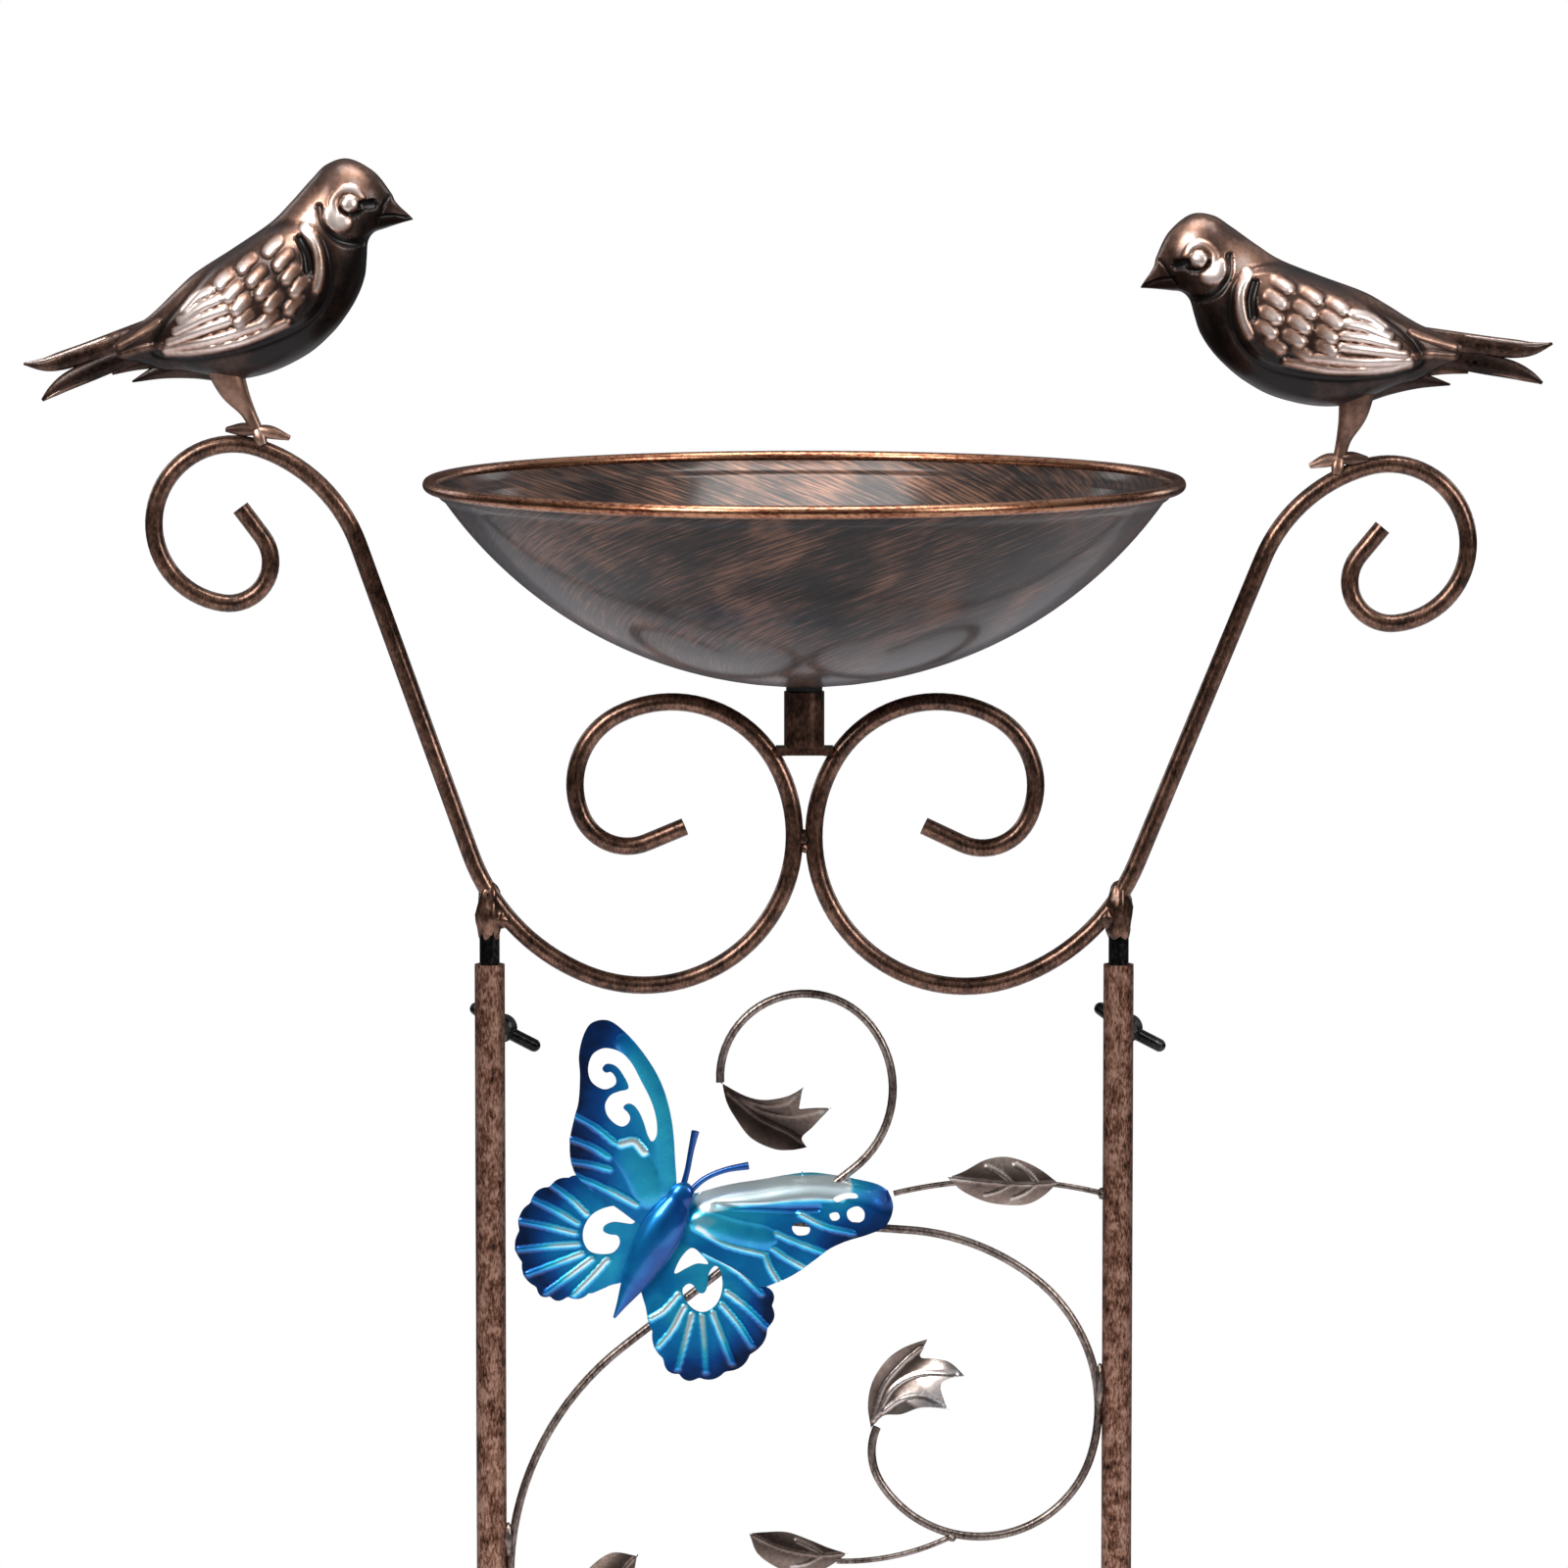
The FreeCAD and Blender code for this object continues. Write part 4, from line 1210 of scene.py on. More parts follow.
        # painted highlights and painted shade, from the patches listed above
        patches = np.zeros(len(spots))
        for x, z, reach, lighter in self.PAINTED_LIGHT_PATCHES:
            away = np.hypot(spots[:, 0] - x, spots[:, 1] - z)
            patches += lighter * np.exp(-((away / reach) ** 2))
        # rubbed pale on ridges and dark in grooves, plus the painted highlights and painted shade of the
        # patches
        worn = 0.42 * relief + 0.3 * edge + patches
        rub = np.clip(painted_top_light + worn.reshape(steps, across), 0, 1)
        points[:, 0, 1] = points[:, -1, 1] = 0.0
        ring = points if way > 0 else points[:, ::-1]
        marks = rub if way > 0 else rub[:, ::-1]
        mould.rings(ring, marks)

    def tail(self, way: int, mould: Mould) -> None:
        """Adds this half's tail strips, its fork and the spur under the tail.

        Args:
            way: which side of the seam it is on, 1 or -1 along Y.
            mould: what it is added to.
        """
        stand_out = 0.9
        # the marks paint the upper strip lighter and the lower strip and the spur beneath it darker:
        # painted light from above, as on the body; the raised strips are rubbed pale like ridges
        for path, radii, mark, raised in (
            (((108, -6.2), (124, -5.4), (140, -5.0), (150, -4.6), (157, -3.6), (164.4, -0.6)),
             (5.6, 4.6, 4.0, 3.7, 2.6, 0.5), 0.40, False),
            (((108, -4.4), (124, -3.0), (140, -2.7), (150, -2.6), (157, -2.2), (163.0, -0.6)),
             (1.3, 1.3, 1.2, 1.1, 0.9, 0.3), 0.85, True),
            (((108, -12.4), (124, -11.6), (140, -12.2), (150, -13.0), (157, -14.6), (162.6, -16.6)),
             (5.0, 4.2, 4.1, 3.6, 2.4, 0.6), 0.24, False),
            (((110, -14.6), (124, -13.8), (140, -14.6), (150, -15.2), (161.0, -16.6)),
             (1.0, 1.0, 1.0, 0.9, 0.3), 0.6, True),
            (((92, -25.0), (102, -23.0), (114, -21.8), (126.6, -21.9)),
             (9.0, 6.4, 3.4, 0.4), 0.2, False),
            (((116, -17.0), (124, -16.0), (133, -16.4)), (3.0, 2.2, 0.4), 0.35, False),
        ):
            mould.rod([(x, 0.0, z) for x, z in path], radii, 0.55 if raised else 0.5, 18, 10, mark)
            added = mould.points[-1]
            out = np.abs(added[:, 1])
            added[:, 1] = way * (out + (stand_out if raised else 0.0) * (out > 0.01))

    def seated(self, points: Rows) -> Rows:
        """Puts the bird on its perch.

        Args:
            points: corners in the bird's own frame.

        Returns:
            The corners turned by its pitch, with the beak at its place.
        """
        own = points.copy()
        if self.side is Side.LEFT:
            own[:, 0] = -own[:, 0]
            own[:, 1] = -own[:, 1]
        turn = self.pitch if self.side is Side.LEFT else -self.pitch
        return turned(own, turn, (self.beak[0], 0.0, self.beak[1]))

    def legs(self) -> None:
        """Makes the thighs, shanks, toes and the pads that close on the rod."""
        mould = Mould()
        x, z = self.foot
        for way in (-1, 1):
            hip = 4.6 * way
            foot = 1.5 * way
            mould.rod(
                [(x + 3.0, hip, z + 35.0), (x + 2.6, hip * 0.8, z + 21.0),
                 (x + 0.4, foot, z + 10.0), (x - 0.4, foot, z + 1.0)],
                (7.4, 5.6, 2.9, 2.4), 0.62, 18, 8, 0.5,
            )
            for reach, drop, tip in ((-11.5, -1.2, 0.8), (11.0, 1.8, 0.8)):
                slope = math.tan(math.radians(self.rod_slope - self.turn_of_rod()))
                mould.rod(
                    [(x, foot, z + 2.2), (x + reach * 0.45, foot * 1.5, z + 1.9 + reach * 0.45 * slope),
                     (x + reach, foot * 2.1, z + 0.6 + drop * 0.3 + reach * slope)],
                    (2.0, 2.5, tip), 0.6, 14, 7, 0.6 if reach < 0 else 0.4,
                )
            mould.rod(
                [(x - 0.4, foot, z + 3.5), (x - 0.6, foot * 1.9, z - 0.5), (x - 0.8, foot * 2.2, z - 4.0)],
                (2.0, 2.3, 1.6), 0.5, 14, 6, 0.6,
            )
        piece = Piece(
            f"{self.side.name.lower()}_bird_feet", "top_frame", "bird_paint", BIRD_BRONZE,
            (f"{self.side.name.lower()}_bird_legs",),
        )
        piece.make(self.seated(mould.all_points()), mould.faces, {"rub": mould.all_marks()})

    def turn_of_rod(self) -> float:
        """The bird's own tilt, which its toes undo to lie along the rod."""
        return -self.pitch if self.side is Side.LEFT else self.pitch

    def build(self) -> None:
        """Makes both half shells and the feet."""
        name = self.side.name.lower()
        front = 1 if self.side is Side.LEFT else -1
        for way, half in ((front, "front"), (-front, "rear")):
            mould = Mould()
            self.half(way, mould)
            self.tail(way, mould)
            piece = Piece(
                f"{name}_bird_{half}_half", "top_frame", "bird_paint", BIRD_BRONZE,
                (f"{name}_bird_{half}_shell",), 50.0,
            )
            piece.make(self.seated(mould.all_points()), mould.faces, {"rub": mould.all_marks()})
        self.legs()


# ------------------------------------------------------------------ stamped sheet: butterfly and leaves


# how much brighter a stroke is painted for each millimetre that it stands out: rubbed pale on leaf veins, a
# painted highlight on the butterfly's ribs
RUB_AND_HIGHLIGHT_PER_MM = 0.62


@dataclass
class Stamping:
    """A blank of thin sheet: its outline, what is pierced, its ribs and how it is bent."""

    outline: Flat
    holes: Sequence[Flat] = ()
    ribs: Sequence[Stroke] = ()
    bend: Callable[[Rows], Rows] = lambda spots: np.zeros(len(spots))
    tone: Callable[[Rows], Rows] = lambda spots: np.full(len(spots), 0.4)
    cell: float = 0.7
    corners: bool = False

    def sheet(self) -> tuple[Rows, list, Rows]:
        """Cuts, presses and bends the blank.

        Returns:
            The sheet's corners across, out and up, its faces, and the finish's mark.
        """
        edge = np.array(self.outline, float)
        if not self.corners:
            edge = smooth_line(self.outline, 8 * len(self.outline), closed=True)
        holes = [smooth_line(hole, 6 * len(hole), closed=True) for hole in self.holes]
        flat, faces = cut_sheet(edge, holes, self.cell)
        relief = stamped(self.ribs, flat) if self.ribs else np.zeros(len(flat))
        out = self.bend(flat) + relief
        # stroke heights scaled for the tone: leaf veins rubbed pale, and on the butterfly painted
        # highlights along the ribs and painted glare along the right forewing's front edge
        rubbed = [replace(rib, height=rib.height * rib.rub_and_highlight) for rib in self.ribs]
        bright = stamped(rubbed, flat) if rubbed else relief
        mark = self.tone(flat) + RUB_AND_HIGHLIGHT_PER_MM * bright
        return np.stack([flat[:, 0], -out, flat[:, 1]], 1), faces, np.clip(mark, 0, 1)


def dished(base: float, slope: float, curve: float) -> Callable[[Rows], Rows]:
    """How a wing stands out: further from its root on, and bent back towards its tip.

    Args:
        base: how far out it stands at the root, in millimetres.
        slope: how much further out for each millimetre from the root.
        curve: how much it bends back for each square millimetre.

    Returns:
        The bend, which gives the distance out at each spot.
    """
    return lambda spots: base + slope * np.abs(spots[:, 0]) - curve * spots[:, 0] ** 2


def scalloped(outline: Flat, start: float, end: float, waves: int, deep: float) -> Rows:
    """A smooth closed edge with a run of rounded lobes pressed out of it.

    Args:
        outline: points of the plain edge.
        start: where the lobes start, as a share of the way round.
        end: where they end.
        waves: how many lobes.
        deep: how far a lobe stands out, in millimetres.

    Returns:
        The edge's points.
    """
    edge = smooth_line(outline, 16 * len(outline), closed=True)
    share = np.arange(len(edge)) / len(edge)
    along = np.roll(edge, -1, 0) - np.roll(edge, 1, 0)
    out = np.stack([along[:, 1], -along[:, 0]], 1)
    out /= np.linalg.norm(out, axis=1)[:, None] + 1e-9
    if depth_in((edge[:1] + out[:1] * 0.5), edge)[0] > 0:
        out = -out
    phase = np.clip((share - start) / (end - start), 0, 1)
    lobe = np.abs(np.sin(math.pi * waves * phase)) - 0.5
    lobe = np.where((phase > 0) & (phase < 1), lobe, 0.0)
    return edge + out * (deep * lobe)[:, None]


@dataclass
class Butterfly:
    """Four stamped wings with ribs and piercings, a domed body and two feelers."""

    lean: float = 28.7
    centre_from_corner: tuple[float, float, float] = (19.5, 4.35, 34.7)
    body_rows: Sequence[tuple[float, float]] = (
        (-39.0, 0.5),
        (-33.0, 2.0),
        (-24.0, 4.7),
        (-14.0, 7.0),
        (-4.0, 8.3),
        (5.0, 8.0),
        (11.0, 6.4),
        (14.5, 5.2),
        (18.0, 4.9),
        (21.0, 3.6),
        (22.8, 0.8),
    )

    LEFT_FORE: ClassVar[Flat] = (
        (-2.0, 15.0), (-9.5, 29.0), (-18.0, 42.0), (-28.0, 52.5), (-39.0, 59.5), (-50.3, 64.0),
        (-59.0, 65.3), (-64.5, 61.5), (-65.2, 55.6), (-63.0, 47.6), (-58.6, 40.3),
        (-54.2, 31.0), (-52.4, 24.0), (-49.6, 15.3), (-44.6, 7.6), (-38.0, 3.6), (-20.0, 0.5),
        (-4.0, 0.0),
    )
    LEFT_SLOT: ClassVar[Flat] = (
        (-54.0, 55.5), (-48.4, 56.5), (-42.7, 54.5), (-36.4, 50.3), (-29.8, 45.7), (-24.4, 40.5),
        (-20.6, 34.5), (-20.6, 30.7), (-23.3, 32.0), (-26.6, 35.2), (-30.3, 38.3), (-33.8, 40.0),
        (-36.6, 39.6), (-37.4, 37.3), (-35.2, 36.6), (-33.1, 35.2), (-32.6, 32.8), (-34.0, 30.4),
        (-37.5, 30.1), (-41.7, 31.7), (-44.4, 35.2), (-44.2, 39.4), (-41.9, 42.4), (-39.3, 45.4),
        (-44.2, 49.1), (-48.3, 50.6), (-51.6, 49.6), (-52.2, 47.1), (-50.2, 46.4), (-48.6, 47.6),
        (-46.0, 46.6), (-44.6, 44.4), (-45.6, 41.9), (-48.3, 39.9), (-53.4, 40.4), (-57.0, 44.1),
        (-58.4, 49.5), (-56.9, 53.3),
    )
    LEFT_HIND: ClassVar[Flat] = (
        (-4.0, 6.0), (-20.0, 8.0), (-38.0, 5.4), (-45.0, -0.4), (-50.2, -8.0), (-52.2, -17.6),
        (-49.6, -29.2), (-42.4, -38.4), (-33.0, -43.8), (-26.6, -44.4), (-20.6, -41.6),
        (-14.0, -36.4), (-8.0, -29.0), (-2.0, -20.0),
    )
    LEFT_CURL: ClassVar[Flat] = (
        (-11.7, 1.5), (-15.0, 2.8), (-20.2, 1.4), (-24.6, -2.0), (-27.6, -6.7), (-28.0, -12.5),
        (-25.8, -17.4), (-21.7, -20.1), (-17.2, -19.3), (-12.9, -16.3), (-12.2, -12.0),
        (-14.5, -9.4), (-17.7, -10.4), (-20.5, -10.4), (-21.0, -8.2), (-18.7, -5.3),
        (-14.5, -3.6), (-11.4, -2.1),
    )
    RIGHT_FORE: ClassVar[Flat] = (
        (2.0, 15.0), (8.0, 22.5), (16.0, 30.0), (25.0, 37.0), (33.0, 43.5), (41.0, 49.0), (50.0, 52.8),
        (58.0, 55.4), (66.0, 57.6), (71.5, 57.6), (76.2, 53.4), (77.2, 45.8), (73.0, 39.6), (66.6, 33.0),
        (61.8, 26.6), (58.6, 19.4), (54.5, 11.0), (49.5, 4.2), (44.6, 0.0), (34.0, 1.4), (4.0, 2.0),
    )
    RIGHT_HOLES: ClassVar[Sequence[Flat]] = (
        ((44.9, 29.2), (48.4, 31.2), (51.2, 30.2), (51.4, 27.6), (48.0, 25.4), (45.0, 26.6)),
        ((55.2, 39.0), (57.6, 41.2), (59.6, 39.4), (57.6, 37.2)),
        ((60.8, 43.8), (63.4, 47.2), (66.8, 46.6), (68.2, 43.4), (66.0, 40.8), (62.6, 41.0)),
        ((53.4, 45.4), (56.4, 49.2), (60.4, 51.2), (62.0, 50.0), (58.4, 47.8), (55.6, 44.6)),
    )
    RIGHT_HIND: ClassVar[Flat] = (
        (4.0, 6.0), (20.0, 8.0), (34.0, 5.4), (42.5, 3.6), (50.0, 0.0), (54.6, -6.6),
        (56.4, -15.6), (55.0, -27.7), (49.6, -37.6), (42.0, -44.4), (34.6, -47.2),
        (26.6, -45.8), (17.6, -38.8), (9.6, -30.0), (2.0, -19.0),
    )
    RIGHT_CURL: ClassVar[Flat] = (
        (25.4, -1.2), (28.5, -2.4), (31.9, -7.3), (33.3, -13.6), (31.5, -18.7), (27.6, -20.8),
        (22.3, -19.6), (18.6, -16.2), (19.3, -12.9), (21.7, -12.4), (24.5, -13.9), (26.7, -12.9),
        (26.4, -9.5), (24.6, -5.2),
    )
    RIGHT_GAP: ClassVar[Flat] = (
        (13.8, 0.6), (19.0, -0.2), (22.6, -2.0), (18.6, -4.0), (15.8, -7.6), (12.6, -12.0),
        (11.9, -5.0),
    )

    def ribs(self, lines: Sequence[Flat], width: float = 1.25, height: float = 0.62) -> list[Stroke]:
        """Raised ribs along lines, each with a painted highlight along it.

        Args:
            lines: the middle of each rib.
            width: half of a rib's width.
            height: how far it stands out.

        Returns:
            One stroke for each line.
        """
        return [Stroke(line, width, height) for line in lines]

    def spray(self, light: Flat, dark: Flat, reach: float) -> Callable[[Rows], Rows]:
        """How deep the tint is: bright near one line, navy near another.

        Args:
            light: the line that is lightest.
            dark: the line that is darkest.
            reach: how far the dark runs in from its line, in millimetres.

        Returns:
            The tone, which gives the tint at each spot.
        """
        glow, shade = np.array(light, float), np.array(dark, float)

        def tone(spots: Rows) -> Rows:
            """The tint at each spot."""
            near = np.exp(-((line_distance(spots, glow)[0] / 11.0) ** 2))
            far = np.clip(1 - line_distance(spots, shade)[0] / reach, 0, 1)
            return 0.46 + 0.16 * near - 0.40 * ease(far)

        return tone

    def wings(self) -> dict[str, Stamping]:
        """Draws the four wings.

        Returns:
            Each wing's stamping, under the name of its piece without the word butterfly.
        """
        left_fore = Stamping(
            self.LEFT_FORE, [self.LEFT_SLOT],
            self.ribs([
                ((-52.6, 25.4), (-43.0, 25.2), (-33.6, 23.4)),
                ((-49.0, 16.6), (-41.0, 17.6), (-33.1, 17.2)),
                ((-45.2, 8.6), (-38.0, 11.2), (-30.4, 13.0)),
                ((-41.0, 4.2), (-28.0, 5.4), (-14.0, 5.4)),
            ]) + [
                Stroke(((-31.4, 24.0), (-27.0, 27.4), (-21.6, 25.6)), 1.9, 0.7),
                Stroke(((-27.0, 22.0), (-20.0, 18.0), (-12.0, 12.0)), 6.0, 0.55, 0.5, 0.4),
                Stroke(((-6.0, 16.0), (-14.0, 29.0), (-24.0, 42.0), (-36.0, 53.0), (-50.0, 60.6)), 3.4, 0.5,
                       1.0, 0.12),
            ],
            dished(0.6, 0.11, 0.0009),
            self.spray(((-6, 18), (-22, 42), (-42, 56)), ((-62, 62), (-62, 44), (-52, 22), (-44, 8)), 22.0),
        )
        left_hind = Stamping(
            [tuple(p) for p in scalloped(self.LEFT_HIND, 0.18, 0.80, 8, 1.5)[::2]], [self.LEFT_CURL],
            self.ribs([
                ((-48.6, -3.6), (-38.0, -5.0), (-29.7, -7.4)),
                ((-51.0, -12.5), (-42.0, -12.0), (-31.0, -12.4)),
                ((-51.0, -22.5), (-42.0, -19.6), (-30.0, -16.4)),
                ((-46.6, -33.0), (-36.0, -25.6), (-26.9, -19.8)),
                ((-38.6, -40.0), (-31.0, -31.0), (-23.8, -22.4)),
                ((-28.6, -43.0), (-23.6, -32.0), (-19.4, -22.6)),
                ((-18.6, -38.6), (-15.8, -29.0), (-13.7, -19.9)),
                ((-33.0, 4.0), (-22.0, 4.6), (-10.0, 4.2)),
            ]),
            dished(-0.3, 0.09, 0.0012),
            self.spray(
                ((-6, 0), (-14, -8), (-12, -22)),
                ((-49, -2), (-53, -18), (-44, -38), (-27, -46)), 17.0,
            ),
        )
        right_fore = Stamping(
            self.RIGHT_FORE, self.RIGHT_HOLES,
            self.ribs([
                ((40.0, 22.0), (50.0, 23.0), (61.0, 24.6)),
                ((42.0, 16.0), (49.0, 15.4), (57.0, 15.4)),
                ((40.4, 12.6), (45.0, 8.6), (50.6, 5.4)),
                ((12.0, 9.0), (24.0, 8.4), (40.6, 12.6)),
                ((45.0, 33.6), (56.0, 34.0), (67.0, 37.0)),
            ]) + [
                Stroke(((12.0, 12.0), (24.0, 14.0), (37.0, 18.0)), 5.0, 1.0, 1.0, 0.22),
                # a low swell along the front edge, painted much brighter than its height gives: painted
                # glare highlight
                Stroke(((10.0, 20.0), (20.0, 28.0), (32.0, 37.0), (46.0, 45.6), (54.0, 50.0)), 5.2, 0.5,
                       1.0, 1.7),
                Stroke(((14.0, 20.0), (28.0, 27.0), (40.0, 33.0), (50.0, 38.6)), 1.6, -0.7, 1.0, 0.5),
            ],
            self.rolled_back,
            self.spray(((8, 14), (22, 30), (40, 46), (56, 52)), ((78, 52), (74, 40), (66, 31)), 17.0),
        )
        right_hind = Stamping(
            [tuple(p) for p in scalloped(self.RIGHT_HIND, 0.24, 0.82, 8, 1.5)[::2]],
            [self.RIGHT_CURL, self.RIGHT_GAP],
            self.ribs([
                ((19.0, 1.7), (33.0, 1.6), (46.9, -2.1)),
                ((34.4, -8.2), (45.0, -10.0), (55.0, -13.0)),
                ((35.0, -13.6), (45.0, -17.6), (53.6, -22.4)),
                ((33.6, -18.4), (42.0, -25.6), (50.0, -32.4)),
                ((30.4, -21.6), (36.6, -31.0), (42.4, -40.4)),
                ((26.6, -23.0), (29.4, -34.0), (32.0, -44.6)),
                ((22.4, -21.8), (22.6, -32.0), (21.0, -40.6)),
                ((18.0, -18.4), (16.0, -27.0), (13.0, -32.4)),
            ]),
            dished(-0.3, 0.09, 0.0012),
            self.spray(((14, -4), (26, -4), (24, -24)), ((52, -2), (58, -18), (50, -40), (34, -50)), 15.0),
        )
        return {
            "left_forewing": left_fore,
            "left_hindwing": left_hind,
            "right_forewing": right_fore,
            "right_hindwing": right_hind,
        }

    def rolled_back(self, spots: Rows) -> Rows:
        """How the right forewing stands out, with its front edge rolled back to face upwards."""
        edge = smooth_line(self.RIGHT_FORE[:10], 60)
        near = np.clip(9.0 - line_distance(spots, edge)[0], 0, None)
        return 0.6 + 0.07 * spots[:, 0] - 0.0006 * spots[:, 0] ** 2 - near**2 / 13.0

    def seated(self, points: Rows) -> Rows:
        """Points of the butterfly's own plane, leant and moved to its place on the vine."""
        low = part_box("butterfly_body")[0] / MM
        seat = [low[k] + self.centre_from_corner[k] for k in range(3)]
        return turned(points, -self.lean, seat)

    def build(self) -> None:
        """Makes the wings, the body and the feelers."""
        sheet = 0.7
        around = 36
        body_low, body_length = -39.0, 62.0
        for name, wing in self.wings().items():
            points, faces, mark = wing.sheet()
            stands_for = (f"butterfly_{name.split('_')[0]}_wings",) if "fore" in name else ()
            piece = Piece(
                f"butterfly_{name}", "trellis", "butterfly_blue", BUTTERFLY_BLUE, stands_for, 50.0,
            )
            piece.make(self.seated(points), faces, {"rub": mark}, sheet=sheet)
        body = Mould()
        line = smooth_line([(v, r) for v, r in self.body_rows], 60)
        turn = np.linspace(0, 2 * math.pi, around, endpoint=False)
        rings = np.stack(
            [
                line[:, 1, None] * np.cos(turn),
                -2.0 - 0.56 * line[:, 1, None] * np.sin(turn),
                np.repeat(line[:, 0, None], around, 1),
            ],
            -1,
        )
        share = (line[:, 0, None] - body_low) / body_length
        # painted highlight: lighter on the body's left flank and darker on its right; also darker towards
        # both ends
        tone = 0.40 - 0.16 * np.cos(turn)[None, :] - 0.12 * np.abs(share - 0.5)
        body.rings(rings, np.clip(tone, 0, 1))
        piece = Piece(
            "butterfly_domed_body", "trellis", "butterfly_blue", BUTTERFLY_BLUE,
            ("butterfly_body",),
        )
        piece.make(self.seated(body.all_points()), body.faces, {"rub": body.all_marks()})
        feelers = Mould()
        for path in (
            ((-0.6, -1.0, 18.0), (-2.8, -1.2, 27.0), (-5.4, -1.6, 35.0), (-7.6, -2.0, 42.6)),
            ((1.6, -1.0, 18.0), (4.6, -1.2, 27.0), (10.2, -1.6, 34.4), (17.6, -2.0, 40.6)),
        ):
            feelers.rod(path, (1.3, 1.15, 1.2, 1.6), 0.9, 14, 8, 0.24)
        piece = Piece(
            "butterfly_feeler_pair", "trellis", "butterfly_blue", BUTTERFLY_BLUE,
            ("butterfly_feelers",),
        )
        piece.make(self.seated(feelers.all_points()), feelers.faces, {"rub": feelers.all_marks()})


@dataclass
class Leaf:
    """A stamped leaf on a wire: its outline and veins from its root, and how it is cupped."""

    node: str
    root: tuple[float, float]
    outline: Flat
    veins: Sequence[Flat]
    cup: float = 0.02
    mid: Flat = ()
    shade: float = 0.34
    vein_height: float = 0.7
    forward: float = 0.0
    turn: float = 0.0

    def build(self) -> None:
        """Makes the leaf from its blank."""
        mid = np.array(self.mid or self.veins[0], float)

        def cupped(spots: Rows) -> Rows:
            """The leaf's edges stand forward of its midrib."""
            away = line_distance(spots, mid)[0]
            return self.forward + self.cup * away**2

        def shade(spots: Rows) -> Rows:
            """Paler towards the edge that is rubbed."""
            away = line_distance(spots, mid)[0]
            return self.shade + 0.02 * away

        sheet, vein_width, pressed = 0.8, 0.8, 0.6
        ribs = [Stroke(line, vein_width, self.vein_height * pressed) for line in self.veins]
        blank = Stamping(self.outline, (), ribs, cupped, shade, 0.6)
        points, faces, mark = blank.sheet()
        points = turned(points, self.turn, (self.root[0], 0.0, self.root[1]))
        piece = Piece(f"{self.node}_stamping", "trellis", "leaf_paint", LEAF_BRONZE, (self.node,), 50.0)
        piece.make(points, faces, {"rub": mark}, sheet=sheet)


